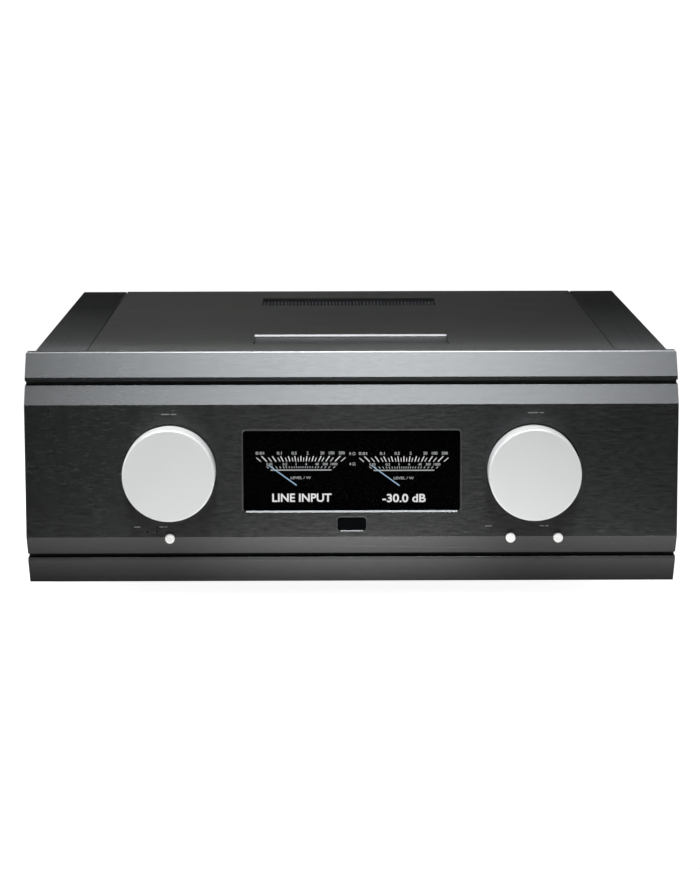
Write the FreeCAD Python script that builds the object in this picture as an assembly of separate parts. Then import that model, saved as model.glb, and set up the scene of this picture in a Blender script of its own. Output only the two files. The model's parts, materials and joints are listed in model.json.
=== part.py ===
import FreeCAD, Part
import math
import os

# Integrated hi-fi amplifier with two large knobs, a display window and side heatsinks.
# Millimetres. +X to the right seen from the front, the front faces -Y, +Z up.
# Origin: centre of the footprint, on the plane the feet stand on.
# Suffixes: R radius, T thickness, HALF half size, Y0/Y1 and Z0/Z1 lower and upper limits.

os.makedirs("parts", exist_ok=True)

Vec = FreeCAD.Vector
FORWARD, BACK = Vec(0, -1, 0), Vec(0, 1, 0)
UP, DOWN = Vec(0, 0, 1), Vec(0, 0, -1)
SIDES = (-1, 1)            # left, right
OVER = 1.0                 # how far a cutting tool runs past the material
JOIN = 0.5                 # overlap of shapes that are fused


def grid(first, second):
    return [(a, b) for a in first for b in second]


# ---------------------------------------------------------------- overall
OVERALL_W = 483.0          # width of the front plates
OVERALL_D = 510.0          # knob faces to loudspeaker post tips
Z_TOP = 187.0
HALF_W = OVERALL_W / 2
Y_KNOB = -OVERALL_D / 2    # knob faces
Y_TIP = OVERALL_D / 2      # loudspeaker post tips

# ---------------------------------------------------------------- front plates
Y_FACE = -232.0            # main front face
Y_BAND_TOP = -223.5        # rear edge of the upper angled band, and the upper bar's lip
Y_BAND_LOW = -222.0        # the same at the bottom
Y_POCKET = -220.0          # floor of the pocket in the back of the main fascia
Y_POCKET_CUT = Y_POCKET + 0.5       # end of the cuts that open into the pocket
Y_SUB_F = -207.0           # front of the sub-panel
Y_SUB_R = Y_SUB_F + 3.0    # rear of the sub-panel, front of the body
Y_TAP = -213.0             # blind ends of the tapped holes in the front plates

Z_C = 100.3                # centre height of the front
Z_LOW = 13.2               # underside of the lower bar
FACE_HALF = 49.7           # half height of the vertical main face
BAND_Z0, BAND_Z1 = 36.9, 163.4      # height range over the angled bands
LIP_TOP = (166.6, 169.4)   # vertical lip of the upper bar; the groove is below it
LIP_LOW = (31.2, 33.8)     # vertical lip of the lower bar; the groove is above it
Y_CREST_TOP = -211.5       # front edge of the upper bar's flat
Y_CREST_LOW = -210.0       # the same on the lower bar
BAR_LAP = 3.0              # thickness of the bars where they lap over the sub-panel
GROOVE_IN = 7.0            # from the lips back to the strips in the grooves
SUB_HALF = 240.0           # half width of the sub-panel

# ---------------------------------------------------------------- front fittings
WINDOW = (80.2, 29.9, 2.0)          # half width, half height, corner radius
WINDOW_CHAMFER = 1.1
GLASS = (82.8, 32.5, 2.8)           # same columns as WINDOW
GLASS_CLEAR = 0.2
Y_GLASS = -230.0
IR_WINDOW = (10.4, 4.85, 2.0)       # same columns as WINDOW
IR_Z = 60.45
LED_POS = grid((-151.6, -144.5), [54.8])
LED_R = 0.9
BUTTON_Z, BUTTON_R, BUTTON_CLEAR = 50.0, 3.5, 0.05
BUTTON_X = {"standby_button": -134.9, "lighting_button": 117.8, "display_button": 153.1}
Y_BUTTON = -235.0
Y_FLANGE = -218.6          # rear of the button and IR window flanges

KNOB_X = 134.5
KNOB_POS = [(side * KNOB_X, Z_C) for side in SIDES]
KNOB_R = 34.0
KNOB_SINK_R = 35.6         # round sinking in the face behind each knob
Y_KNOB_SINK = -229.6
Y_KNOB_REAR = -230.6
Y_GRUB = -239.0            # grub screw axis
SHAFT_R = 3.0
SHAFT_CLEAR = 0.05
BUSH_R = 4.5               # encoder bush
Y_NUT = -226.0             # seat of the encoder nuts

# ---------------------------------------------------------------- case
Y_REAR = 236.0             # outer face of the rear panel
Y_RIN = Y_REAR - 2.5       # inner face of the rear panel
FLANGE_T = 2.0             # top and bottom plate flanges along the rear panel
FLANGE_HALF = 185.0
PLATE_Z0, PLATE_Z1 = 14.0, 16.0     # bottom plate
COVER_Z0 = Z_TOP - 4.0     # underside of the top plate
COVER_HALF = 196.7
COVER_GAP = 0.3            # gap between sub-panel and top plate
TONGUES = grid((-120, 120), [180.0])
TONGUE_HALF, TONGUE_HALF_T, TONGUE_CLEAR = 8.0, 1.0, 0.2

SINK_IN = 197.0            # heatsink inner face
SINK_BASE = 12.0
SINK_OUT = 235.7
SINK_TOP_IN = COVER_HALF + 0.6      # inner edge of the heatsink's top, across a seam
FIN_COUNT = 13
FIN_T = 3.0

RECESS_HALF, RECESS_Y0, RECESS_Y1, RECESS_DEPTH = 74.6, -164.5, -103.5, 2.0
SLOT_HALF, SLOT_Y0, SLOT_Y1 = 74.3, 114.0, 174.0
RIB_COUNT, RIB_PITCH, RIB_W = 50, 2.95, 1.5

FOOT_POS = [(-185.0, -116.0), (185.0, -116.0), (-185.0, 190.0), (185.0, 190.0)]

# ---------------------------------------------------------------- rear fittings
RCA_POS = grid([-65.0, -39.0, -13.0, 13.0, 39.0, 65.0], [150.0, 124.0])
RCA_R = 4.15
XLR_POS = [(-112.0, 137.0), (112.0, 137.0)]
XLR_SCREWS = [(x + dx, z + dz) for x, z in XLR_POS for dx, dz in ((-9.5, 12.0), (9.5, -12.0))]
XLR_SCREW_R = 1.6
LATCH_RISE = 12.4          # latch centre above the socket centre
TRIGGER_POS = [(-60.0, 84.0), (-60.0, 66.0)]
INLET_Z = 60.0             # centre height of the mains module
INLET_HALF_X, INLET_HALF_Z, INLET_CLEAR = 24.0, 30.0, 0.1
Y_INLET = Y_REAR + 3.0     # outer face of the mains module
FUSE_Z = INLET_Z - 24.0
ROCKER_Z = INLET_Z + 18.0
Y_ROCKER = 236.5           # rocker pivot
POST_POS = {
    "speaker_cap_left_red": (-168.0, 92.0),
    "speaker_cap_left_black": (-168.0, 58.0),
    "speaker_cap_right_red": (168.0, 92.0),
    "speaker_cap_right_black": (168.0, 58.0),
}
POST_BASE_T = 4.0
POST_COLLAR_T = 2.5        # collar inside the rear panel
POST_SHANK_R = 6.0
STUD_R = 4.0
BANANA_R = 2.05

# ---------------------------------------------------------------- inside
TOROID_POS = {"transformer_left": (-80.0, -122.0), "transformer_right": (80.0, -122.0)}
TOROID_R, TOROID_IN, TOROID_Z1 = 65.0, 22.0, 83.0
CLAMP_Z1 = TOROID_Z1 + 2.0
TOROID_BOSS_Z1 = 26.0
TOROID_BOLT_R = 4.0
FOOT_BOSS_Z1 = 20.0
BOARD_T = 1.6              # all circuit boards
BOARD_Z0 = 24.0            # flat boards
BOARD_Z1 = BOARD_Z0 + BOARD_T
CONTROL_Y0 = -212.0        # front control board
CONTROL_Y1 = CONTROL_Y0 + BOARD_T
PREAMP_Y0 = 216.0          # upright board behind the rear panel
PREAMP_Y1 = PREAMP_Y0 + BOARD_T
RECTIFIER_POS = [(side * 132.0, -30.0) for side in SIDES]
TRANSISTOR_Y = [-120.0, -50.0, 20.0, 90.0, 160.0]
TRANSISTOR_X = 192.2       # inner face of the output transistors
TRANSISTOR_SCREW_Z = 49.0
RIBBON_X, RIBBON_Z0, RIBBON_Z1 = 35.0, 52.0, 148.0      # cable centre, heights of its ends
PLUG_HALF_X, PLUG_HALF_Z = 15.0, 4.0                    # ribbon connectors
RIBBON_Y0, RIBBON_Y1 = -203.0, 208.0

# ---------------------------------------------------------------- screws and their places
M3_R, M3_CLEAR = 1.5, 1.6
M4_R, M4_CLEAR = 2.0, 2.2
M5_R, M5_CLEAR = 2.5, 2.7
# shank radius, head radius, head height, socket across flats
M3 = (M3_R, 2.75, 1.7, 2.0)
M4 = (M4_R, 3.8, 2.2, 2.5)
M5 = (M5_R, 4.75, 2.75, 3.0)

# front and rear screws as (x, z)
MAIN_SCREWS = [(-185, 150.0), (-62, 150.0), (62, 150.0), (185, 150.0), (-185, 52.0), (185, 52.0)]
BAR_SCREWS_X = [-180.0, -60.0, 60.0, 180.0]
TOP_BAR_SCREW_Z = 172.0
LOW_BAR_SCREW_Z = 2 * Z_C - TOP_BAR_SCREW_Z
BAR_SCREWS = grid(BAR_SCREWS_X, (TOP_BAR_SCREW_Z, LOW_BAR_SCREW_Z))
CONTROL_BOSSES = [(-160.0, 63.0), (-95.0, 62.0), (95.0, 62.0), (162.0, 63.0)]
SINK_SCREW_X = 203.0
SINK_FRONT_Z = [60.0, 100.3, 140.0]
SINK_REAR_Z = [35.0, 100.0, 165.0]
SINK_FRONT_SCREWS = grid((-SINK_SCREW_X, SINK_SCREW_X), SINK_FRONT_Z)
SINK_REAR_SCREWS = grid((-SINK_SCREW_X, SINK_SCREW_X), SINK_REAR_Z)
COVER_SCREWS = grid([-150.0, -50.0, 50.0, 150.0], [176.5])
FLANGE_SCREWS = grid([-175.0, -60.0, 60.0, 175.0], [23.0])
# upright screws and posts as (x, y)
SINK_BOTTOM_Y = [-160.0, 0.0, 160.0]
SINK_BOTTOM_SCREWS = grid((-SINK_SCREW_X, SINK_SCREW_X), SINK_BOTTOM_Y)
PSU_POSTS = [(-102.0, -46.0), (102.0, -46.0), (-102.0, 54.0), (102.0, 54.0)]
AMP_POST_X = 156.0
AMP_POSTS_Y = [-145.0, -15.0, 125.0, 205.0]
AMP_POSTS = grid((-AMP_POST_X, AMP_POST_X), AMP_POSTS_Y)
BOARD_POSTS = PSU_POSTS + AMP_POSTS


# ---------------------------------------------------------------- helpers
# A suffix _x, _y or _z is the axis a shape runs along.
def box(x0, x1, y0, y1, z0, z1):
    return Part.makeBox(x1 - x0, y1 - y0, z1 - z0, Vec(x0, y0, z0))


def box_y(x, z, half_x, half_z, y0, y1):
    return box(x - half_x, x + half_x, y0, y1, z - half_z, z + half_z)


def box_z(x, y, half_x, half_y, z0, z1):
    return box(x - half_x, x + half_x, y - half_y, y + half_y, z0, z1)


def side_box(side, x0, x1, *limits):
    # x0 and x1 are distances from the centre plane
    left, right = sorted((side * x0, side * x1))
    return box(left, right, *limits)


def side_cyl_x(side, y, z, radius, x0, x1):
    left, right = sorted((side * x0, side * x1))
    return Part.makeCylinder(radius, right - left, Vec(left, y, z), Vec(1, 0, 0))


def cyl_y(x, z, radius, y0, y1):
    return Part.makeCylinder(radius, y1 - y0, Vec(x, y0, z), BACK)


def cyl_z(x, y, radius, z0, z1):
    return Part.makeCylinder(radius, z1 - z0, Vec(x, y, z0), UP)


def cyls_y(points, radius, y0, y1):
    return [cyl_y(x, z, radius, y0, y1) for x, z in points]


def cyls_z(points, radius, z0, z1):
    return [cyl_z(x, y, radius, z0, z1) for x, y in points]


def through_y(points, radius, y0, y1):
    # hole tools through material from y0 to y1
    return cyls_y(points, radius, y0 - OVER, y1 + OVER)


def through_z(points, radius, z0, z1):
    return cyls_z(points, radius, z0 - OVER, z1 + OVER)


def fuse(shapes):
    return shapes[0].multiFuse(shapes[1:]).removeSplitter()


def cut_all(shape, tools):
    for tool in tools:
        shape = shape.cut(tool)
    return shape


def prism(corners, along):
    return Part.Face(Part.makePolygon(corners + [corners[0]])).extrude(along)


def prism_x(outline, x0, x1):
    return prism([Vec(x0, y, z) for y, z in outline], Vec(x1 - x0, 0, 0))


def prism_y(outline, y0, y1):
    return prism([Vec(x, y0, z) for x, z in outline], Vec(0, y1 - y0, 0))


def prism_z(outline, z0, z1):
    return prism([Vec(x, y, z0) for x, y in outline], Vec(0, 0, z1 - z0))


def ring(centre_a, centre_b, radius, count, start=0.0):
    # points evenly spaced on a circle, start in degrees
    angles = [math.radians(start + 360.0 / count * i) for i in range(count)]
    return [(centre_a + radius * math.cos(a), centre_b + radius * math.sin(a)) for a in angles]


def hex_corners(centre_a, centre_b, across_flats):
    return ring(centre_a, centre_b, across_flats / 2 / math.cos(math.pi / 6), 6)


def hex_y(x, z, across_flats, y0, y1):
    return prism_y(hex_corners(x, z, across_flats), y0, y1)


def hex_z(x, y, across_flats, z0, z1):
    return prism_z(hex_corners(x, y, across_flats), z0, z1)


def rounded_wire(x, z, half_x, half_z, radius, y):
    # rounded rectangle in the plane at y, one line and one arc per turn
    x0, x1, z0, z1 = x - half_x, x + half_x, z - half_z, z + half_z
    arc_inset = radius * (1 - math.sqrt(0.5))
    corners = [Vec(x1, y, z0), Vec(x1, y, z1), Vec(x0, y, z1), Vec(x0, y, z0)]
    ways = [Vec(1, 0, 0), Vec(0, 0, 1), Vec(-1, 0, 0), Vec(0, 0, -1)]
    edges = []
    for i, corner in enumerate(corners):
        way, turn = ways[i], ways[(i + 1) % 4]
        start = corner - way * radius
        middle = corner + (turn - way) * arc_inset
        edges.append(Part.makeLine(corners[i - 1] + way * radius, start))
        edges.append(Part.Arc(start, middle, corner + turn * radius).toShape())
    return Part.Wire(edges)


def rounded_y(x, z, half_x, half_z, radius, y0, y1):
    wire = rounded_wire(x, z, half_x, half_z, radius, y0)
    return Part.Face(wire).extrude(Vec(0, y1 - y0, 0))


def rounded_flare(x, z, half_x, half_z, radius, y0, y1, grow):
    # rounded rectangle that is larger by grow at y0 and has its own size at y1
    front = rounded_wire(x, z, half_x + grow, half_z + grow, radius + grow, y0)
    return Part.makeLoft([front, rounded_wire(x, z, half_x, half_z, radius, y1)], True, True)


def edges_at(shape, **limits):
    # edges whose bounding box has the given limits, such as YMin=...
    return [
        edge
        for edge in shape.Edges
        if all(abs(getattr(edge.BoundBox, key) - limits[key]) < 1e-6 for key in limits)
    ]


def screw(size, length, position, direction):
    # button head with its underside in the plane through position, shank along direction
    radius, head_r, head_h, socket = size
    head = cyl_z(0, 0, head_r, -head_h, 0)
    head = head.makeFillet(head_h * 0.45, edges_at(head, ZMin=-head_h, ZMax=-head_h))
    shank = cyl_z(0, 0, radius, 0, length)
    shank = shank.makeChamfer(radius * 0.25, edges_at(shank, ZMin=length))
    body = head.fuse(shank).removeSplitter()
    body = body.cut(hex_z(0, 0, socket, -head_h - 0.01, -head_h * 0.4))
    body.Placement = FreeCAD.Placement(position, FreeCAD.Rotation(UP, direction))
    return body


def screws_y(size, length, points, y, direction):
    return [screw(size, length, Vec(x, y, z), direction) for x, z in points]


def screws_z(size, length, points, z, direction):
    return [screw(size, length, Vec(x, y, z), direction) for x, y in points]


def save(name, shape):
    if isinstance(shape, list):
        shape = Part.makeCompound(shape)
    if not shape.isValid():
        raise RuntimeError(name + " is not valid")
    shape.exportStep("parts/" + name + ".step")


# ---------------------------------------------------------------- front plates
def fascia_main():
    fascia = prism_x(
        [
            (Y_FACE, Z_C - FACE_HALF),
            (Y_FACE, Z_C + FACE_HALF),
            (Y_BAND_TOP, BAND_Z1),
            (Y_SUB_F, BAND_Z1),
            (Y_SUB_F, BAND_Z0),
            (Y_BAND_LOW, BAND_Z0),
        ],
        -HALF_W,
        HALF_W,
    )
    # rear pocket, with the bosses left standing in it
    pocket = box(-228, 228, Y_POCKET, Y_SUB_F + OVER, 42, 158.6)
    bosses = cyls_y(MAIN_SCREWS, 6.0, Y_POCKET - 1, Y_SUB_F)
    bosses += cyls_y(CONTROL_BOSSES, 3.5, Y_POCKET - 1, CONTROL_Y0)
    fascia = fascia.cut(cut_all(pocket, bosses))
    front = Y_FACE - OVER
    glass_seat = [size + GLASS_CLEAR for size in GLASS]
    ir_chamfer = 0.6
    tools = [
        rounded_flare(0, Z_C, *WINDOW, Y_FACE, Y_FACE + WINDOW_CHAMFER, WINDOW_CHAMFER),
        rounded_y(0, Z_C, *WINDOW, front, Y_GLASS + OVER),
        rounded_y(0, Z_C, *glass_seat, Y_GLASS, Y_POCKET_CUT),
        rounded_flare(0, IR_Z, *IR_WINDOW, Y_FACE, Y_FACE + ir_chamfer, ir_chamfer),
        rounded_y(0, IR_Z, *IR_WINDOW, front, Y_POCKET_CUT),
    ]
    tools += cyls_y(LED_POS, LED_R, front, Y_POCKET_CUT)
    buttons = grid(BUTTON_X.values(), [BUTTON_Z])
    tools += cyls_y(buttons, BUTTON_R + BUTTON_CLEAR, front, Y_POCKET_CUT)
    rim = 0.3                  # chamfer around the knob sinkings
    for x, z in KNOB_POS:
        tools += [
            cyl_y(x, z, KNOB_SINK_R, front, Y_KNOB_SINK),
            Part.makeCone(KNOB_SINK_R + rim, KNOB_SINK_R, rim, Vec(x, Y_FACE, z), BACK),
            cyl_y(x, z, 12.0, front, Y_NUT),
            cyl_y(x, z, BUSH_R, Y_NUT - OVER, Y_POCKET_CUT),
        ]
    tools += cyls_y(MAIN_SCREWS, M5_R, Y_TAP, Y_SUB_F + OVER)
    tools += cyls_y(CONTROL_BOSSES, M3_R, -216.4, CONTROL_Y0 + OVER)
    return cut_all(fascia, tools)


def bar_blank(y_lip, z_groove, z_lip, y_crest, z_edge, z_lap):
    outline = [
        (y_lip, z_groove),
        (y_lip, z_lip),
        (y_crest, z_edge),
        (Y_SUB_R, z_edge),
        (Y_SUB_R, z_lap),
        (Y_SUB_F, z_lap),
        (Y_SUB_F, z_groove),
    ]
    return prism_x(outline, -HALF_W, HALF_W)


def bar_holes(z):
    return cyls_y(grid(BAR_SCREWS_X, [z]), M5_R, Y_TAP, Y_SUB_F + OVER)


def fascia_top_rail():
    bar = bar_blank(Y_BAND_TOP, *LIP_TOP, Y_CREST_TOP, Z_TOP, Z_TOP - BAR_LAP)
    crest = [e for e in edges_at(bar, ZMin=Z_TOP, YMin=Y_CREST_TOP) if e.Length > 100]
    bar = bar.makeFillet(1.5, crest)
    # small flats on the upper corners of the ends
    for side in SIDES:
        inner, outer = side * (HALF_W - 1.0), side * (HALF_W + 1.0)
        flat = [(inner, Z_TOP), (outer, Z_TOP), (outer, Z_TOP - 2.0)]
        bar = bar.cut(prism_y(flat, Y_CREST_TOP - 5, Y_SUB_R + OVER))
    return cut_all(bar, bar_holes(TOP_BAR_SCREW_Z))


def fascia_bottom_rail():
    bar = bar_blank(Y_BAND_LOW, LIP_LOW[1], LIP_LOW[0], Y_CREST_LOW, Z_LOW, Z_LOW + BAR_LAP)
    return cut_all(bar, bar_holes(LOW_BAR_SCREW_Z))


def front_subpanel():
    # a plate with one strip along each groove
    strip_half = HALF_W - 0.2
    strip_y1 = Y_SUB_F + JOIN
    gap = 0.05
    low_z0, low_z1 = LIP_LOW[1] + gap, BAND_Z0 - gap
    top_z0, top_z1 = BAND_Z1 + gap, LIP_TOP[0] - gap
    panel = fuse(
        [
            box(-SUB_HALF, SUB_HALF, Y_SUB_F, Y_SUB_R, Z_LOW + BAR_LAP, Z_TOP - BAR_LAP),
            box(-strip_half, strip_half, Y_BAND_TOP + GROOVE_IN, strip_y1, top_z0, top_z1),
            box(-strip_half, strip_half, Y_BAND_LOW + GROOVE_IN, strip_y1, low_z0, low_z1),
        ]
    )
    tools = through_y(MAIN_SCREWS + BAR_SCREWS, M5_CLEAR, Y_SUB_F, Y_SUB_R)
    tools += through_y(SINK_FRONT_SCREWS, M4_CLEAR, Y_SUB_F, Y_SUB_R)
    # openings for the ribbon connector and the top plate's tongues
    y0, y1 = Y_SUB_F - OVER, Y_SUB_R + OVER
    tools.append(box_y(RIBBON_X, RIBBON_Z0, PLUG_HALF_X + 2, PLUG_HALF_Z + 2, y0, y1))
    half_x, half_z = TONGUE_HALF + TONGUE_CLEAR, TONGUE_HALF_T + TONGUE_CLEAR
    tools += [box_y(x, z, half_x, half_z, y0, y1) for x, z in TONGUES]
    return cut_all(panel, tools)


def fascia_screws():
    return screws_y(M5, 9.0, MAIN_SCREWS + BAR_SCREWS, Y_SUB_R, FORWARD)


# ---------------------------------------------------------------- display and indicators
def display_glass():
    return rounded_y(0, Z_C, *GLASS, Y_GLASS, Y_GLASS + 3.0)


def display_module():
    board_y0, board_y1 = -220.0, -218.4
    return fuse(
        [
            rounded_y(0, Z_C, 82.0, 31.6, 2.0, -226.2, board_y0),
            box_y(0, Z_C, 88, 31.8, board_y0, board_y1),
            box_y(-40, Z_C, 20, 6, board_y1, -214.9),
            box_y(24, Z_C, 9, 9, board_y1, -215.9),
            box_y(56, Z_C + 16, 6, 8, board_y1, -215.4),
            cyl_y(-72, Z_C + 20, 4.0, board_y1, -211.0),
            cyl_y(-72, Z_C - 20, 4.0, board_y1, -211.0),
        ]
    )


def ir_window():
    return fuse(
        [
            rounded_y(0, IR_Z, *IR_WINDOW, -231.0, Y_POCKET),
            rounded_y(0, IR_Z, 12.6, 6.2, 2.5, Y_POCKET, Y_FLANGE),
        ]
    )


def indicator_leds():
    return [
        fuse([cyl_y(x, z, LED_R, -231.2, Y_POCKET), cyl_y(x, z, 1.5, Y_POCKET, CONTROL_Y0)])
        for x, z in LED_POS
    ]


def push_button(x):
    stem = cyl_y(x, BUTTON_Z, BUTTON_R, Y_BUTTON, Y_POCKET)
    stem = stem.makeFillet(0.5, edges_at(stem, YMax=Y_BUTTON))
    flange = cyl_y(x, BUTTON_Z, 4.8, Y_POCKET, Y_FLANGE)
    return fuse([stem, flange, cyl_y(x, BUTTON_Z, 1.8, Y_FLANGE, -217.4)])


def front_control_board():
    board = box(-168, 168, CONTROL_Y0, CONTROL_Y1, 43, 68)
    board = cut_all(board, through_y(CONTROL_BOSSES, M3_CLEAR, CONTROL_Y0, CONTROL_Y1))
    switch_y = -215.0          # front of the switch bodies
    parts = [
        board,
        box_y(0, 60.5, 4, 4, -215.5, CONTROL_Y0),
        box_y(RIBBON_X, RIBBON_Z0, PLUG_HALF_X, PLUG_HALF_Z, CONTROL_Y1, RIBBON_Y0),
    ]
    for x in BUTTON_X.values():
        parts.append(box_y(x, BUTTON_Z, 3, 3, switch_y, CONTROL_Y0))
        parts.append(cyl_y(x, BUTTON_Z, 1.7, -216.2, switch_y))
    # two large and seven small packages, placed by their left edges
    parts += [box(x, x + 9, -213.6, CONTROL_Y0, 50, 59) for x in (-60, 70)]
    small_x = (-110, -102, -40, -32, 30, 38, 100)
    parts += [box(x, x + 3.2, -212.8, CONTROL_Y0, 48, 49.6) for x in small_x]
    return fuse(parts)


# ---------------------------------------------------------------- knobs and encoders
def knob(x):
    hollow_y = -246.5
    rear = Y_KNOB_REAR + OVER
    body = cyl_y(x, Z_C, KNOB_R, Y_KNOB, Y_KNOB_REAR)
    body = body.makeChamfer(0.9, edges_at(body, YMax=Y_KNOB))
    body = body.makeChamfer(0.5, edges_at(body, YMin=Y_KNOB_REAR))
    # the hollow leaves a hub around the shaft
    hub = cyl_y(x, Z_C, 9.0, hollow_y - 0.5, rear + OVER)
    tools = [
        cyl_y(x, Z_C, 29.3, hollow_y, rear).cut(hub),
        cyl_y(x, Z_C, SHAFT_R, -246.0, rear),
        # grub screw hole in the hub and access hole in the rim
        cyl_z(x, Y_GRUB, 2.0, Z_C - 10.0, Z_C),
        cyl_z(x, Y_GRUB, 2.3, Z_C - 36.0, Z_C - 28.0),
    ]
    return cut_all(body, tools)


def knob_screw(x):
    z0 = Z_C - 8.5
    grub = cyl_z(x, Y_GRUB, 2.0, z0, z0 + 5.5)
    return grub.cut(hex_z(x, Y_GRUB, 2.0, z0 - 0.01, z0 + 2.19))


def encoder(x):
    pins = [cyl_z(x + 2.5 * i, -211.5, 0.45, Z_C - 16.0, Z_C - 11.0) for i in range(-2, 3)]
    body = rounded_y(x, Z_C, 12.0, 12.0, 1.5, Y_POCKET, -209.0)
    bush = cyl_y(x, Z_C, BUSH_R, -229.0, Y_POCKET)
    # shaft bore, then the wider chamber for the shaft's collar
    tools = [
        cyl_y(x, Z_C, SHAFT_R + SHAFT_CLEAR, -230.0, -217.5),
        cyl_y(x, Z_C, 4.3, -218.0, -212.0),
    ]
    return cut_all(fuse([body, bush] + pins), tools)


def encoder_shaft(x):
    return fuse([cyl_y(x, Z_C, SHAFT_R, -245.5, -213.0), cyl_y(x, Z_C, 4.2, -217.5, -214.5)])


def encoder_nuts():
    y0 = Y_NUT - 2.5
    return [
        cut_all(hex_y(x, z, 13.0, y0, Y_NUT), through_y([(x, z)], BUSH_R, y0, Y_NUT))
        for x, z in KNOB_POS
    ]


# ---------------------------------------------------------------- top plate and grille
def top_cover():
    front = Y_SUB_R + COVER_GAP
    cover = box(-COVER_HALF, COVER_HALF, front, Y_REAR, COVER_Z0, Z_TOP)
    side_edges = [
        edge
        for edge in edges_at(cover, ZMin=Z_TOP)
        if abs(abs(edge.CenterOfMass.x) - COVER_HALF) < 1e-6
    ]
    cover = cover.makeChamfer(0.4, side_edges)
    flange_y = Y_RIN - FLANGE_T
    flange = box(-FLANGE_HALF, FLANGE_HALF, flange_y, Y_RIN, 169.0, COVER_Z0)
    flange = cut_all(flange, through_y(COVER_SCREWS, M4_R, flange_y, Y_RIN))
    lip = box(-FLANGE_HALF, FLANGE_HALF, front, front + 2.0, 178.0, COVER_Z0)
    tongues = [
        box_y(x, z, TONGUE_HALF, TONGUE_HALF_T, -206.6, front + 0.1) for x, z in TONGUES
    ]
    cover = fuse([cover, flange, lip] + tongues)
    above = Z_TOP + OVER
    # slope down into the sunk panel along its rear edge
    slope_z = Z_TOP - 1.4
    slope = [
        (RECESS_Y1 - 1.0, slope_z),
        (RECESS_Y1, slope_z),
        (RECESS_Y1 + 1.4, Z_TOP),
        (RECESS_Y1 + 1.4, above),
        (RECESS_Y1 - 1.0, above),
    ]
    recess_z = Z_TOP - RECESS_DEPTH
    tools = [
        box(-RECESS_HALF, RECESS_HALF, RECESS_Y0, RECESS_Y1, recess_z, above),
        box(-SLOT_HALF, SLOT_HALF, SLOT_Y0, SLOT_Y1, COVER_Z0 - OVER, above),
        prism_x(slope, -RECESS_HALF, RECESS_HALF),
    ]
    return cut_all(cover, tools)


def vent_grille():
    # frame under the slot, with ribs that rise into it
    z0 = 178.0
    rib_top = Z_TOP - 1.3
    frame = box(-84, 84, 106, 182, z0, COVER_Z0).cut(
        box(-SLOT_HALF, SLOT_HALF, SLOT_Y0, SLOT_Y1, z0 - OVER, COVER_Z0 + OVER)
    )
    outline = [
        (SLOT_Y0 - JOIN, z0),
        (SLOT_Y1 + JOIN, z0),
        (SLOT_Y1 + JOIN, 180.5),
        (160.0, 180.5),
        (158.0, rib_top),
        (SLOT_Y0 + 0.3, rib_top),
        (SLOT_Y0 + 0.3, COVER_Z0),
        (SLOT_Y0 - JOIN, COVER_Z0),
    ]
    ribs = []
    for i in range(RIB_COUNT):
        x = (i - (RIB_COUNT - 1) / 2) * RIB_PITCH
        ribs.append(prism_x(outline, x - RIB_W / 2, x + RIB_W / 2))
    return fuse([frame] + ribs)


# ---------------------------------------------------------------- heatsinks
def sink_profile():
    # outline of the right heatsink as (x, z): inner face, top, then down the fins
    root = SINK_IN + SINK_BASE
    fins_z0, fins_z1 = 20.0, Z_TOP - 5.0
    gap = (fins_z1 - fins_z0 - FIN_COUNT * FIN_T) / (FIN_COUNT + 1)
    ledge_x, ledge_z = 187.0, 179.0     # ledge under the top plate
    bevel = 0.8
    tip = SINK_OUT - bevel
    points = [
        (SINK_IN, PLATE_Z1),
        (SINK_IN, ledge_z),
        (ledge_x, ledge_z),
        (ledge_x, COVER_Z0),
        (SINK_TOP_IN, COVER_Z0),
        (SINK_TOP_IN, Z_TOP - 0.4),
        (SINK_TOP_IN + 0.4, Z_TOP),
        (tip, Z_TOP),
        (SINK_OUT, Z_TOP - bevel),
        (SINK_OUT, fins_z1 + bevel),
        (tip, fins_z1),
        (root, fins_z1),
    ]
    z0 = fins_z1
    for _ in range(FIN_COUNT):
        z1 = z0 - gap
        z0 = z1 - FIN_T
        points += [
            (root, z1),
            (tip, z1),
            (SINK_OUT, z1 - bevel),
            (SINK_OUT, z0 + bevel),
            (tip, z0),
            (root, z0),
        ]
    return points + [
        (root, fins_z0),
        (tip, fins_z0),
        (SINK_OUT, fins_z0 - bevel),
        (SINK_OUT, PLATE_Z1),
    ]


def heatsink(side):
    sink = prism_y([(side * x, z) for x, z in sink_profile()], Y_SUB_R, Y_RIN)
    screw_x = [side * SINK_SCREW_X]
    tools = cyls_y(grid(screw_x, SINK_FRONT_Z), M4_R, Y_SUB_R - OVER, Y_SUB_R + 9.0)
    tools += cyls_y(grid(screw_x, SINK_REAR_Z), M4_R, Y_RIN - 10.0, Y_RIN + OVER)
    tools += cyls_z(grid(screw_x, SINK_BOTTOM_Y), M4_R, PLATE_Z1 - OVER, PLATE_Z1 + 10.0)
    tools += [
        side_cyl_x(side, y, TRANSISTOR_SCREW_Z, M3_R, SINK_IN - OVER, SINK_IN + 4.0)
        for y in TRANSISTOR_Y
    ]
    sink = cut_all(sink, tools)
    # the mirrored outline runs the other way round and may give an inside-out solid
    if sink.Volume < 0:
        sink.reverse()
    return sink


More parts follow.
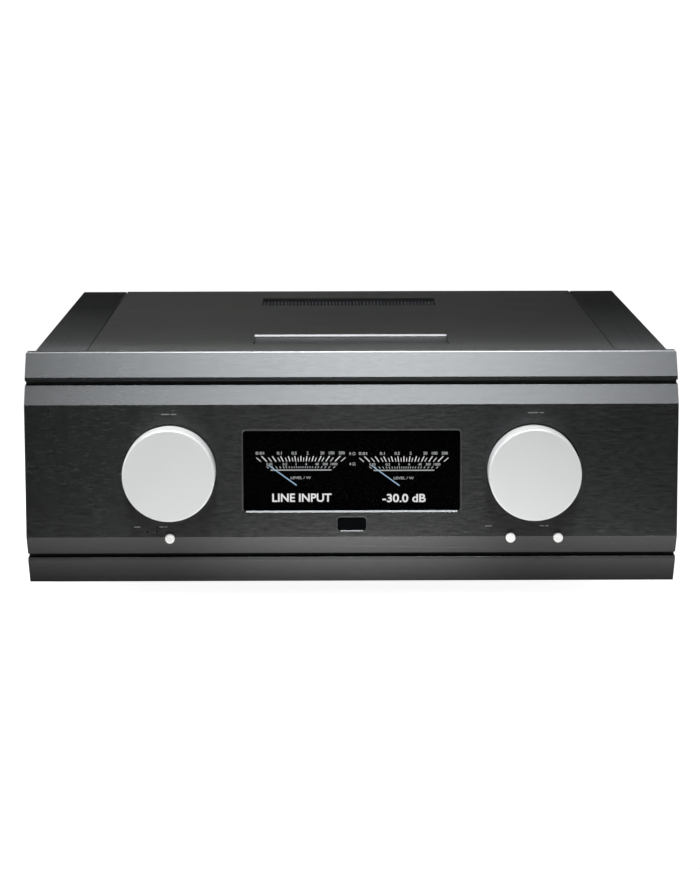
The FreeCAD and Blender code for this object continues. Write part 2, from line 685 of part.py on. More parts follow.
# ---------------------------------------------------------------- bottom and rear
def bottom_plate():
    flange_y = Y_RIN - FLANGE_T
    base = PLATE_Z1 - JOIN
    toroids = list(TOROID_POS.values())
    parts = [
        box(-SINK_OUT, SINK_OUT, Y_SUB_R, Y_REAR, PLATE_Z0, PLATE_Z1),
        box(-FLANGE_HALF, FLANGE_HALF, flange_y, Y_RIN, base, 30.0),
    ]
    parts += cyls_z(BOARD_POSTS, 3.5, base, BOARD_Z0)
    parts += cyls_z(toroids, 9.0, base, TOROID_BOSS_Z1)
    parts += cyls_z(FOOT_POS, 5.0, base, FOOT_BOSS_Z1)
    tools = cyls_z(BOARD_POSTS, M3_R, PLATE_Z1 + 1.0, BOARD_Z0 + OVER)
    tools += through_z(toroids, TOROID_BOLT_R, PLATE_Z0, TOROID_BOSS_Z1)
    tools += through_z(FOOT_POS, M5_R, PLATE_Z0, FOOT_BOSS_Z1)
    tools += through_z(SINK_BOTTOM_SCREWS, M4_CLEAR, PLATE_Z0, PLATE_Z1)
    tools += through_y(FLANGE_SCREWS, M4_R, flange_y, Y_RIN)
    tools += through_z(RECTIFIER_POS, 1.5, PLATE_Z0, PLATE_Z1)
    # two rows of nine cooling slots
    slot_z0, slot_z1 = PLATE_Z0 - OVER, PLATE_Z1 + OVER
    for side in SIDES:
        for i in range(9):
            y = 72.0 + 13.0 * i
            tools.append(box(side * 75 - 45, side * 75 + 45, y, y + 4.0, slot_z0, slot_z1))
    return cut_all(fuse(parts), tools)


def rear_panel():
    panel = box(-209, 209, Y_RIN, Y_REAR, PLATE_Z1, COVER_Z0)

    def holes(points, radius):
        return through_y(points, radius, Y_RIN, Y_REAR)

    tools = holes(RCA_POS, RCA_R + 0.1)
    tools += holes(XLR_POS, 12.0)
    tools += holes(TRIGGER_POS, 3.1)
    tools += holes(POST_POS.values(), POST_SHANK_R)
    half_x, half_z = INLET_HALF_X + INLET_CLEAR, INLET_HALF_Z + INLET_CLEAR
    tools.append(box_y(0, INLET_Z, half_x, half_z, Y_RIN - OVER, Y_REAR + OVER))
    tools += holes(SINK_REAR_SCREWS + COVER_SCREWS + FLANGE_SCREWS, M4_CLEAR)
    tools += holes(XLR_SCREWS, XLR_SCREW_R)
    return cut_all(panel, tools)


def case_screws():
    length = 10.0
    rear_points = SINK_REAR_SCREWS + COVER_SCREWS + FLANGE_SCREWS
    screws = screws_y(M4, length, rear_points, Y_REAR, FORWARD)
    screws += screws_z(M4, length, SINK_BOTTOM_SCREWS, PLATE_Z0, UP)
    screws += screws_y(M4, length, SINK_FRONT_SCREWS, Y_SUB_F, BACK)
    return screws


# ---------------------------------------------------------------- feet
FOOT_Z0 = 2.0              # top of the pads
FOOT_SEAT_Z = 8.0          # seat of the screw heads


def feet():
    shapes = []
    for x, y in FOOT_POS:
        foot = Part.makeCone(25.5, 27.5, PLATE_Z0 - FOOT_Z0, Vec(x, y, FOOT_Z0), UP)
        foot = foot.makeChamfer(0.8, edges_at(foot, ZMax=FOOT_Z0))
        tools = through_z([(x, y)], M5_CLEAR, FOOT_Z0, PLATE_Z0)
        tools.append(cyl_z(x, y, 6.0, FOOT_Z0 - OVER, FOOT_SEAT_Z))
        shapes.append(cut_all(foot, tools))
    return shapes


def foot_pads():
    return [
        cut_all(cyl_z(x, y, 23.0, 0, FOOT_Z0), through_z([(x, y)], 8.0, 0, FOOT_Z0))
        for x, y in FOOT_POS
    ]


def foot_screws():
    return screws_z(M5, 11.0, FOOT_POS, FOOT_SEAT_Z, UP)


# ---------------------------------------------------------------- ring transformers
def transformer(position):
    core = cyl_z(*position, TOROID_R, PLATE_Z1, TOROID_Z1)
    core = cut_all(core, through_z([position], TOROID_IN, PLATE_Z1, TOROID_Z1))
    rims = [e for e in core.Edges if abs(e.BoundBox.ZMin - e.BoundBox.ZMax) < 1e-6]
    return core.makeFillet(9.0, rims)


def transformer_clamps():
    clamps = []
    plug_z = TOROID_Z1 - 4.0
    for x, y in TOROID_POS.values():
        disc = cyl_z(x, y, 34.0, TOROID_Z1, CLAMP_Z1)
        clamp = fuse([disc, cyl_z(x, y, 12.0, plug_z, TOROID_Z1)])
        clamps.append(cut_all(clamp, through_z([(x, y)], 4.2, plug_z, CLAMP_Z1)))
    return clamps


def transformer_bolts():
    return [
        fuse(
            [
                hex_z(x, y, 13.0, CLAMP_Z1, CLAMP_Z1 + 5.5),
                cyl_z(x, y, TOROID_BOLT_R, 14.5, CLAMP_Z1),
            ]
        )
        for x, y in TOROID_POS.values()
    ]


# ---------------------------------------------------------------- power supply
def power_supply_board():
    board = box(-110, 110, -54, 62, BOARD_Z0, BOARD_Z1)
    board = cut_all(board, through_z(PSU_POSTS, M3_CLEAR, BOARD_Z0, BOARD_Z1))
    # connectors: x, y, half width, half depth, height
    connectors = [
        (-77, -47, 15, 5, 12), (77, -47, 15, 5, 12), (0, -47, 18, 5, 9),
        (-8, 55, 6, 5, 10), (8, 55, 6, 5, 10),
    ]
    return fuse(
        [board]
        + [
            box_z(x, y, half_x, half_y, BOARD_Z1, BOARD_Z1 + height)
            for x, y, half_x, half_y, height in connectors
        ]
    )


def reservoir_capacitors():
    capacitors = []
    top = BOARD_Z1 + 60.0
    for x, y in grid((-75.0, -25.0, 25.0, 75.0), (-18.0, 26.0)):
        can = cyl_z(x, y, 17.5, BOARD_Z1, top)
        can = can.makeFillet(1.5, edges_at(can, ZMin=top))
        capacitors.append(can.cut(cyl_z(x, y, 15.0, top - 0.8, top + OVER)))
    return capacitors


def bridge_rectifiers():
    rectifiers = []
    top = PLATE_Z1 + 8.0
    for x, y in RECTIFIER_POS:
        block = box_z(x, y, 14, 14, PLATE_Z1, top)
        block = cut_all(block, through_z([(x, y)], 1.7, PLATE_Z1, top))
        lugs = [
            box_z(x + dx, y + dy, 0.4, 3, top, top + 7.0) for dx, dy in grid((-10, 10), (-9, 9))
        ]
        rectifiers.append(fuse([block] + lugs))
    return rectifiers


# ---------------------------------------------------------------- amplifier boards
def amp_board(side):
    board = side_box(side, 150.0, 191.0, -155.0, 215.0, BOARD_Z0, BOARD_Z1)
    posts = grid([side * AMP_POST_X], AMP_POSTS_Y)
    parts = [cut_all(board, through_z(posts, M3_CLEAR, BOARD_Z0, BOARD_Z1))]
    for y in TRANSISTOR_Y:
        parts += [
            box_z(side * 181, y, 2.5, 5, BOARD_Z1, BOARD_Z1 + 9),
            cyl_z(side * 172, y + 16, 5.0, BOARD_Z1, BOARD_Z1 + 12),
            cyl_z(side * 172, y - 16, 3.2, BOARD_Z1, BOARD_Z1 + 8),
            box_z(side * 162, y, 4, 7, BOARD_Z1, BOARD_Z1 + 5),
        ]
    return fuse(parts)


def output_transistors():
    # bent leg, three straight runs: inner x, outer x, lower z, upper z
    leg_runs = [
        (193.7, 194.3, 27.4, 33.5),
        (188.7, 194.3, 27.4, 28.0),
        (188.7, 189.3, BOARD_Z1, 28.0),
    ]
    hole_x = (TRANSISTOR_X - OVER, SINK_IN + OVER)
    transistors = []
    for side, y in grid(SIDES, TRANSISTOR_Y):
        body = side_box(side, TRANSISTOR_X, SINK_IN, y - 7.8, y + 7.8, 33.0, 53.0)
        body = body.cut(side_cyl_x(side, y, TRANSISTOR_SCREW_Z, M3_CLEAR, *hole_x))
        legs = [
            side_box(side, x0, x1, y + dy - 0.6, y + dy + 0.6, z0, z1)
            for dy in (-5.45, 0.0, 5.45)
            for x0, x1, z0, z1 in leg_runs
        ]
        transistors.append(fuse([body] + legs))
    return transistors


def board_screws():
    length = 6.0
    screws = screws_y(M3, length, CONTROL_BOSSES, CONTROL_Y1, FORWARD)
    screws += screws_z(M3, length, BOARD_POSTS, BOARD_Z1, DOWN)
    for side, y in grid(SIDES, TRANSISTOR_Y):
        position = Vec(side * TRANSISTOR_X, y, TRANSISTOR_SCREW_Z)
        screws.append(screw(M3, length, position, Vec(side, 0, 0)))
    return screws


# ---------------------------------------------------------------- preamplifier
def preamp_board():
    parts = [
        box(-134, 134, PREAMP_Y0, PREAMP_Y1, 108.0, 165.0),
        box_y(RIBBON_X, RIBBON_Z1, PLUG_HALF_X, PLUG_HALF_Z, RIBBON_Y1, PREAMP_Y0),
    ]
    parts += [box_y(x, 123, 7, 5, 211.0, PREAMP_Y0) for x in (-96, -72, -48, 48, 72, 96)]
    parts += [box_y(x, 137, 5, 5, 213.0, PREAMP_Y0) for x in (-110, -60, 60, 110)]
    parts += [cyl_y(x, 156.0, 3.2, 207.0, PREAMP_Y0) for x in (-120, -105, 105, 120)]
    return fuse(parts)


def preamp_tubes():
    tubes = []
    tip = 195.0
    for i in range(5):
        x = -36.0 + 13.5 * (i - 2)
        glass = cyl_y(x, 152.0, 5.6, tip, PREAMP_Y0)
        glass = glass.makeFillet(1.2, edges_at(glass, YMax=tip))
        tubes.append(fuse([glass, cyl_y(x, 152.0, 6.4, 211.5, PREAMP_Y0)]))
    return tubes


def front_ribbon_cable():
    # outline of the bent band as (y, z): along one face and back along the other
    outline = [
        (RIBBON_Y0, 51.5), (-196.5, 51.5), (-195.5, 52.5),
        (-195.5, 146.5), (-194.5, 147.5), (RIBBON_Y1, 147.5),
        (RIBBON_Y1, 148.5), (-195.5, 148.5), (-196.5, 147.5),
        (-196.5, 53.5), (-197.5, 52.5), (RIBBON_Y0, 52.5),
    ]
    return prism_x(outline, RIBBON_X - 12.0, RIBBON_X + 12.0)


# ---------------------------------------------------------------- signal sockets
def rca_sockets():
    sockets = []
    tip = 248.0
    washer_y = Y_REAR + 1.6
    for x, z in RCA_POS:
        socket = fuse(
            [
                cyl_y(x, z, RCA_R, PREAMP_Y1, tip),
                cyl_y(x, z, 6.3, Y_REAR, washer_y),
                hex_y(x, z, 11.0, washer_y, washer_y + 2.0),
                cyl_y(x, z, 6.3, Y_RIN - 2.0, Y_RIN),
            ]
        )
        socket = socket.makeChamfer(0.4, edges_at(socket, YMin=tip))
        tools = [cyl_y(x, z, 3.3, tip - 0.7, tip + OVER), cyl_y(x, z, 1.65, 231.0, tip + OVER)]
        sockets.append(cut_all(socket, tools))
    return sockets


def xlr_sockets():
    sockets = []
    for i, (x, z) in enumerate(XLR_POS):
        flange = rounded_y(x, z, 13.0, 15.5, 2.5, Y_REAR, Y_REAR + 4.0)
        socket = fuse([flange, cyl_y(x, z, 11.9, PREAMP_Y1, Y_REAR)])
        screws = XLR_SCREWS[2 * i:2 * i + 2]
        outer = Y_REAR + 5
        # ring-shaped groove, three pin holes, latch recess, countersunk screw holes
        tools = [cyl_y(x, z, 9.6, 222.0, 241.0).cut(cyl_y(x, z, 6.6, 221.0, 238.5))]
        tools += cyls_y(ring(x, z, 3.9, 3, start=-90), 1.3, 226.0, 239.0)
        tools.append(box_y(x, z + LATCH_RISE, 3.7, 1.8, Y_REAR + 0.8, outer))
        tools += cyls_y(screws, XLR_SCREW_R, Y_REAR - OVER, outer)
        tools += [
            Part.makeCone(XLR_SCREW_R, 3.1, 1.5, Vec(hole_x, Y_REAR + 2.51, hole_z), BACK)
            for hole_x, hole_z in screws
        ]
        sockets.append(cut_all(socket, tools))
    return sockets


def xlr_latch(x, z):
    tip = Y_REAR + 6.5
    tab = box_y(x, z + LATCH_RISE, 3.6, 1.7, Y_REAR + 2.9, tip)
    return tab.makeFillet(0.7, edges_at(tab, YMin=tip))


def trigger_jacks():
    jacks = []
    for x, z in TRIGGER_POS:
        jack = fuse(
            [
                box_y(x, z, 5, 5, 219.0, Y_RIN),
                cyl_y(x, z, 3.0, Y_RIN, Y_REAR + 3.5),
                hex_y(x, z, 8.0, Y_REAR, Y_REAR + 2.2),
            ]
        )
        jacks.append(jack.cut(cyl_y(x, z, 1.8, 224.0, 245.0)))
    return jacks


# ---------------------------------------------------------------- mains module
def mains_inlet():
    inlet = fuse(
        [
            rounded_y(0, INLET_Z, 28.0, 33.0, 3.0, Y_REAR, Y_INLET),
            box_y(0, INLET_Z, INLET_HALF_X, INLET_HALF_Z, 204.0, Y_REAR),
        ]
    )
    # recess for the mains lead with its upper corners cut off, as (x, height from INLET_Z)
    key = [(-12.2, -13.2), (12.2, -13.2), (12.2, 0.3), (8.6, 4.0), (-8.6, 4.0), (-12.2, 0.3)]
    outer = Y_INLET + OVER
    tools = [
        prism_y([(x, INLET_Z + z) for x, z in key], 221.0, outer),
        box_y(0, FUSE_Z, 11.1, 3.2, 213.0, outer),
        box_y(0, ROCKER_Z, 13.5, 7.0, 225.0, outer),
        cyl_z(0, Y_ROCKER, 1.55, ROCKER_Z - 9.1, ROCKER_Z + 9.1),
    ]
    inlet = cut_all(inlet, tools)
    # three blades in the recess, three tabs at the inner end
    blades = [
        box_y(x, INLET_Z + z, 2.0, 1.0, 220.0, 236.0)
        for x, z in ((-7, -6.6), (0, -2.6), (7, -6.6))
    ]
    inlet = fuse([inlet] + blades)
    tabs = [box_y(x, INLET_Z - 7.6, 3.2, 0.4, 196.0, 204.5) for x in (-14, 0, 14)]
    return fuse([inlet] + tabs)


def fuse_drawer():
    drawer = fuse(
        [
            box_y(0, FUSE_Z, 11.0, 3.1, 214.0, Y_INLET),
            rounded_y(0, FUSE_Z, 12.2, 3.9, 0.8, Y_INLET, Y_INLET + 1.6),
        ]
    )
    tools = [
        box_y(0, FUSE_Z, 4.0, 2.0, Y_INLET + 0.8, Y_INLET + 3),
        cyl_y(0, FUSE_Z, 2.6, 212.0, 234.0),
    ]
    return cut_all(drawer, tools)


def power_rocker():
    # section as (x, y) from the pivot
    outline = [
        (-12.6, 6.0), (0, 4.0), (12.6, 6.0), (12.6, -3.0),
        (5.0, -6.0), (-5.0, -6.0), (-12.6, -3.0),
    ]
    rocker = prism_z(outline, ROCKER_Z - 6.85, ROCKER_Z + 6.85)
    rocker = fuse([rocker, cyl_z(0, 0, 1.5, ROCKER_Z - 9.0, ROCKER_Z + 9.0)])
    rocker.rotate(Vec(0, 0, 0), UP, -9.0)
    rocker.translate(Vec(0, Y_ROCKER, 0))
    return rocker


# ---------------------------------------------------------------- loudspeaker posts
def speaker_post_bases():
    bases = []
    inner, outer = Y_RIN - POST_COLLAR_T, Y_REAR + POST_BASE_T
    for x, z in POST_POS.values():
        base = fuse(
            [
                rounded_y(x, z, 10.5, 10.5, 4.0, Y_REAR, outer),
                cyl_y(x, z, POST_SHANK_R, Y_RIN, Y_REAR),
                cyl_y(x, z, 9.5, inner, Y_RIN),
            ]
        )
        bases.append(cut_all(base, through_y([(x, z)], STUD_R, inner, outer)))
    return bases


def speaker_post_studs():
    studs = []
    inner, outer = Y_RIN - POST_COLLAR_T, Y_REAR + POST_BASE_T
    stud_tip = 253.0
    for x, z in POST_POS.values():
        stud = fuse(
            [
                cyl_y(x, z, STUD_R, 219.0, stud_tip),
                hex_y(x, z, 13.0, inner - 5.5, inner),
                cyl_y(x, z, 6.5, outer, outer + 1.5),
            ]
        )
        studs.append(stud.cut(cyl_y(x, z, BANANA_R, 235.0, stud_tip + OVER)))
    return studs


def speaker_cap(x, z):
    front = 242.0
    cap = cyl_y(x, z, 8.6, front, Y_TIP)
    cap = cap.makeChamfer(0.8, edges_at(cap, YMin=Y_TIP))
    tools = cyls_y(ring(x, z, 9.1, 16), 1.1, front + 2.0, Y_TIP + OVER)
    tools.append(cyl_y(x, z, STUD_R + 0.05, front - OVER, 253.4))
    tools.append(cyl_y(x, z, 2.6, 252.0, Y_TIP + OVER))
    return cut_all(cap, tools)


# ---------------------------------------------------------------- build
# each of these functions has the name of its file
PIECES = [
    fascia_main, fascia_top_rail, fascia_bottom_rail, front_subpanel, fascia_screws,
    display_glass, display_module, ir_window, indicator_leds, front_control_board,
    encoder_nuts, top_cover, vent_grille, bottom_plate, rear_panel, case_screws,
    feet, foot_pads, foot_screws, transformer_clamps, transformer_bolts,
    power_supply_board, reservoir_capacitors, bridge_rectifiers, output_transistors,
    board_screws, preamp_board, preamp_tubes, front_ribbon_cable, rca_sockets,
    xlr_sockets, trigger_jacks, mains_inlet, fuse_drawer, power_rocker,
    speaker_post_bases, speaker_post_studs,
]
for piece in PIECES:
    save(piece.__name__, piece())

for name, x in BUTTON_X.items():
    save(name, push_button(x))
for name, (x, _) in zip(("source", "volume"), KNOB_POS):
    save(name + "_knob", knob(x))
    save(name + "_knob_screw", knob_screw(x))
    save(name + "_encoder", encoder(x))
    save(name + "_encoder_shaft", encoder_shaft(x))
for name, side in zip(("left", "right"), SIDES):
    save("heatsink_" + name, heatsink(side))
    save("amp_board_" + name, amp_board(side))
for name, position in zip(("left", "right"), XLR_POS):
    save("xlr_latch_" + name, xlr_latch(*position))
for name, position in TOROID_POS.items():
    save(name, transformer(position))
for name, position in POST_POS.items():
    save(name, speaker_cap(*position))
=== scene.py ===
"""
The looks of an audio amplifier: a metal box with two knobs, a display and buttons in front,
heatsinks along both sides and sockets at the rear, standing on a pale floor in a studio.

Metres, +Z up. X runs across, the front faces -Y, the rear +Y, and the floor lies just under z = 0.
Drawn marks and repainted areas are given in millimetres; materials, lights and camera in metres.
"""

import bpy
import bmesh
import json
import math
from mathutils import Vector, Matrix


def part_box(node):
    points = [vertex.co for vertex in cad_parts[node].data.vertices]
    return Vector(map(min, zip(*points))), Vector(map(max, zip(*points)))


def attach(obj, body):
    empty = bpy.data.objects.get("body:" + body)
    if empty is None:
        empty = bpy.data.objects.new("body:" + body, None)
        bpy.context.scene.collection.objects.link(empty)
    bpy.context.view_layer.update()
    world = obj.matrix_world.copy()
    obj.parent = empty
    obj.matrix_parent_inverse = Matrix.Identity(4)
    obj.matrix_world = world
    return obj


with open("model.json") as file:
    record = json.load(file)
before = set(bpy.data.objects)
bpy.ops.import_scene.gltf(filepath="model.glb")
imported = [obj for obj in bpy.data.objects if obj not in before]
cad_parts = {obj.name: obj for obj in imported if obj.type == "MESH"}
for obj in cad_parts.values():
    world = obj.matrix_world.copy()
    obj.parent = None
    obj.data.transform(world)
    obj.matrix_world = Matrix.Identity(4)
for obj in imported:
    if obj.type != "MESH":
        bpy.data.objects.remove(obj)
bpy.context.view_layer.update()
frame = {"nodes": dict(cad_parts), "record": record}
NODES = frame["nodes"]
SCENE = bpy.context.scene
MM = 0.001
LOW, HIGH = 0, 1


def box_mm(node, end, axis):
    """One side of a node's bounding box, in millimetres."""
    return getattr(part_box(node)[end], axis) * 1000.0


FACE_Y = box_mm("fascia_main", LOW, "y")
SCREEN_Y = box_mm("display_module", LOW, "y")
REAR_Y = box_mm("rear_panel", HIGH, "y")
XLR_X, XLR_Z = 112.0, 137.0


# ------------------------------------------------------------------ shader helper
class Shader:
    """Builds the node tree of a material or world; each method returns an output socket."""

    def __init__(self, owner):
        owner.use_nodes = True
        self.tree = owner.node_tree
        self.tree.nodes.clear()

    def put(self, socket, value):
        if isinstance(value, bpy.types.NodeSocket):
            self.tree.links.new(value, socket)
            return
        if isinstance(value, tuple) and len(value) == 3 and len(socket.default_value) == 4:
            value = (*value, 1.0)
        socket.default_value = value

    def add(self, kind, inputs=None, out=0, **settings):
        node = self.tree.nodes.new(kind)
        for key, value in settings.items():
            setattr(node, key, value)
        for key, value in (inputs or {}).items():
            self.put(node.inputs[key], value)
        return node.outputs[out]

    def calc(self, operation, *values, clamp=False):
        inputs = dict(enumerate(values))
        return self.add("ShaderNodeMath", inputs, operation=operation, use_clamp=clamp)

    def times(self, a, b):
        return self.calc("MULTIPLY", a, b)

    def plus(self, a, b, clamp=False):
        return self.calc("ADD", a, b, clamp=clamp)

    def vector(self, operation, *values, out=0):
        inputs = dict(enumerate(values))
        return self.add("ShaderNodeVectorMath", inputs, out=out, operation=operation)

    def scale(self, vector, factor):
        inputs = {0: vector, "Scale": factor}
        return self.add("ShaderNodeVectorMath", inputs, operation="SCALE")

    def noise(self, vector, scale, detail=2.0, rough=0.5):
        inputs = {"Vector": vector, "Scale": scale, "Detail": detail, "Roughness": rough}
        return self.add("ShaderNodeTexNoise", inputs)

    def ramp(self, value, span, result=(0.0, 1.0), smooth=False):
        """Maps the span of the value onto the result, held at both ends."""
        return self.add(
            "ShaderNodeMapRange",
            {0: value, 1: span[0], 2: span[1], 3: result[0], 4: result[1]},
            clamp=True,
            interpolation_type="SMOOTHSTEP" if smooth else "LINEAR",
        )

    def bell(self, value, centre, width):
        """A bell curve of height 1."""
        away = self.calc("DIVIDE", self.calc("SUBTRACT", value, centre), width)
        return self.calc("EXPONENT", self.times(self.times(away, away), -0.5))

    def mix(self, share, a, b):
        return self.add("ShaderNodeMix", {0: share, 6: a, 7: b}, out=2, data_type="RGBA")

    def mix_shader(self, share, a, b):
        return self.add("ShaderNodeMixShader", {0: share, 1: a, 2: b})

    def coords(self):
        """Object coordinates."""
        return self.add("ShaderNodeTexCoord", out=3)

    def normal(self):
        return self.add("ShaderNodeNewGeometry", out=1)

    def split(self, vector):
        """The x, y and z of a vector."""
        return tuple(self.add("ShaderNodeSeparateXYZ", {0: vector}).node.outputs)

    def bump(self, height, distance, **more):
        inputs = {"Strength": 1.0, "Distance": distance, "Height": height, **more}
        return self.add("ShaderNodeBump", inputs)

    def edges(self, radius):
        """A mask that is 1 along sharp edges and 0 on flats, and the rounded normal."""
        bevel = self.add("ShaderNodeBevel", {"Radius": radius}, samples=4)
        agree = self.vector("DOT_PRODUCT", bevel, self.normal(), out=1)
        turned = self.calc("SUBTRACT", 1.0, agree)
        return self.calc("MULTIPLY", turned, 5.0, clamp=True), bevel

    def principled(self, inputs):
        self.output("Material", self.add("ShaderNodeBsdfPrincipled", inputs))

    def output(self, kind, surface):
        self.tree.links.new(surface, self.tree.nodes.new("ShaderNodeOutput" + kind).inputs[0])


MATERIALS = {}


def material(name):
    """Starts a material, kept under its name in MATERIALS."""
    MATERIALS[name] = bpy.data.materials.new(name)
    return Shader(MATERIALS[name])


# ------------------------------------------------------------------ metals and plastics
NOISE = (0.3, 0.7)  # the span that noise values mostly fill

# coarse and fine noise scale along x, y, z for each direction of brushing
BRUSHING = {
    "x": ((42.0, 820.0, 820.0), (95.0, 2600.0, 2600.0)),
    "x_fine": ((115.0, 560.0, 560.0), (260.0, 1300.0, 1300.0)),
    "y": ((1100.0, 3.5, 1100.0), (3200.0, 9.0, 3200.0)),
    "grain": ((2600.0,) * 3, (6500.0,) * 3),
}
TURNED_SCALE = 2500.0  # rings stacked along z


def streak_vectors(shader, pattern):
    """The coarse and fine vectors that the streak noise reads."""
    coords = shader.coords()
    if pattern == "turned_z":
        height = shader.split(coords)[2]
        rings = shader.add("ShaderNodeCombineXYZ", {2: shader.times(height, TURNED_SCALE)})
        return rings, rings
    return [shader.vector("MULTIPLY", coords, scale) for scale in BRUSHING[pattern]]


def metal(
    name,
    colour,
    rough,
    pattern="grain",
    aniso=0.0,  # stretch of highlights, for brushing along x
    streak=0.06,  # streaks in the colour
    streak_rough=0.10,  # streaks in the roughness
    bump=2.0e-6,
    edge=0.25,  # wear along edges
    edge_colour=None,
    edge_r=0.0004,
    cloud=0.05,  # broad unevenness of the colour
    metallic=1.0,
    tint=None,  # second colour, in patches
    spec=0.5,
    painted_gap_shade=0.0,  # painted shade: darkening of the colour in narrow gaps
    shade=None,  # function giving a further factor on the colour
):
    shader = material(name)
    coarse_vector, fine_vector = streak_vectors(shader, pattern)
    coarse = shader.noise(coarse_vector, 1.0, detail=3.0, rough=0.55)
    fine = shader.noise(fine_vector, 1.0)
    streaks = shader.plus(shader.times(coarse, 0.6), shader.times(fine, 0.4))
    patches = shader.noise(shader.coords(), 7.0, detail=3.0)
    factor = shader.plus(
        shader.ramp(streaks, NOISE, (1.0 - streak, 1.0 + streak)),
        shader.ramp(patches, NOISE, (-cloud, cloud)),
    )
    # painted shade: the colour darkens where ambient occlusion finds a narrow gap
    if painted_gap_shade:
        ao_reach = {"Distance": 0.0035}
        openness = shader.add("ShaderNodeAmbientOcclusion", ao_reach, out=1, samples=6)
        gap = shader.ramp(openness, (0.35, 0.96), (1.0 - painted_gap_shade, 1.0))
        factor = shader.times(factor, gap)
    if shade:
        factor = shader.times(factor, shade(shader))
    base = shader.scale(colour, factor)
    if tint:
        base = shader.mix(shader.ramp(patches, (0.35, 0.65)), base, shader.scale(tint, factor))
    mask, bevel = shader.edges(edge_r)
    spots = shader.noise(shader.coords(), 260.0, detail=3.0)
    wear = shader.times(mask, shader.ramp(spots, (0.35, 0.65), (0.35, 1.0)))
    worn_colour = edge_colour or tuple(min(1.0, c * 1.8 + 0.06) for c in colour)
    base = shader.mix(shader.times(wear, edge), base, worn_colour)
    roughness = shader.plus(
        shader.ramp(streaks, NOISE, (rough - streak_rough / 2, rough + streak_rough / 2)),
        shader.ramp(patches, NOISE, (-0.02, 0.03)),
        clamp=True,
    )
    inputs = {
        "Base Color": base,
        "Metallic": metallic,
        "Specular IOR Level": spec,
        "Roughness": roughness,
        "Normal": shader.bump(streaks, bump, Normal=bevel),
    }
    if aniso:
        across = shader.vector("CROSS_PRODUCT", shader.normal(), (1.0, 0.0, 0.0))
        inputs["Anisotropic"] = aniso
        inputs["Tangent"] = shader.vector("NORMALIZE", across)
    shader.principled(inputs)


def plastic(
    name, colour, rough=0.45, grain=3000.0, bump=1.2e-5, vary=0.12, edge=0.2, spec=0.5, coat=0.0
):
    """Grained plastic; vary is the unevenness of the colour, edge the wear along edges."""
    shader = material(name)
    coords = shader.coords()
    grains = shader.noise(coords, grain, rough=0.6)
    patches = shader.noise(coords, 30.0, detail=3.0, rough=0.55)
    factor = shader.plus(
        shader.ramp(grains, NOISE, (1 - vary / 2, 1 + vary / 2)),
        shader.ramp(patches, NOISE, (-vary / 2, vary / 2)),
    )
    base = shader.scale(colour, factor)
    mask, bevel = shader.edges(0.0004)
    wear = shader.times(mask, shader.ramp(patches, (0.4, 0.6), (0.3, 1.0)))
    worn_colour = tuple(min(1.0, c * 1.6 + 0.05) for c in colour)
    base = shader.mix(shader.times(wear, edge), base, worn_colour)
    roughness = shader.plus(
        shader.ramp(grains, NOISE, (rough - 0.05, rough + 0.05)),
        shader.ramp(patches, NOISE, (-0.04, 0.04)),
        clamp=True,
    )
    inputs = {
        "Base Color": base,
        "Roughness": roughness,
        "Normal": shader.bump(grains, bump, Normal=bevel),
        "Specular IOR Level": spec,
    }
    if coat:
        inputs["Coat Weight"] = coat
        inputs["Coat Roughness"] = 0.08
    shader.principled(inputs)


def painted_shade_in_corner(shader):
    """Painted shade: the floor of the sunk panel darkens against its two side walls and its rear
    wall.
    """
    x, y, _ = shader.split(shader.coords())
    side = shader.ramp(shader.calc("ABSOLUTE", x), (0.0725, 0.0737), (1.0, 0.12))
    rear = shader.ramp(y, (-0.1110, -0.1070), (1.0, 0.45))
    return shader.times(side, rear)


def painted_light_to_front(shader):
    """Painted light: the outer strips' colour gets paler towards the front, in place of the
    brighter reflection there.
    """
    y = shader.split(shader.coords())[1]
    return shader.ramp(y, (0.100, -0.190), (0.35, 3.8))


def painted_shade_at_right_rear(shader):
    """Painted shade: the top plate's colour darkens gently towards its right rear part, in place of
    a darker reflection there.
    """
    x, y, _ = shader.split(shader.coords())
    right = shader.ramp(x, (-0.060, 0.190))
    rear = shader.ramp(y, (-0.150, 0.050))
    return shader.calc("SUBTRACT", 1.0, shader.times(shader.times(right, rear), 0.45))


# front plates
FASCIA = dict(
    pattern="x_fine", aniso=1.0, streak_rough=0.05,
    edge=0.5, edge_colour=(0.55, 0.56, 0.57), cloud=0.03,
)
FASCIA_GREY = dict(colour=(0.0640, 0.0664, 0.0652), rough=0.235)
metal("fascia_metal", streak=0.09, bump=9.0e-6, **FASCIA_GREY, **FASCIA)
metal("face_metal", streak=0.34, bump=11.0e-6, **FASCIA_GREY, **FASCIA)
# lighter copy of the fascia metal, with a wider edge mask, as a painted highlight on the rail's
# crest
metal(
    "fascia_crest_highlight", colour=(0.130, 0.133, 0.132), rough=0.22, streak=0.12, edge_r=0.0008, **FASCIA
)

# knobs and buttons
for knob in ("source_knob", "volume_knob"):
    metal(
        knob + "_metal", colour=(0.652, 0.664, 0.661), rough=0.52, streak=0.05, bump=5.0e-6,
        edge=0.6, edge_colour=(0.95, 0.95, 0.95), edge_r=0.0006, cloud=0.02, metallic=0.3,
    )
metal(
    "button_metal", colour=(0.88, 0.88, 0.86), rough=0.42, streak=0.03, bump=1.5e-6,
    edge=0.3, edge_colour=(0.95, 0.95, 0.95), cloud=0.02, metallic=0.2,
)

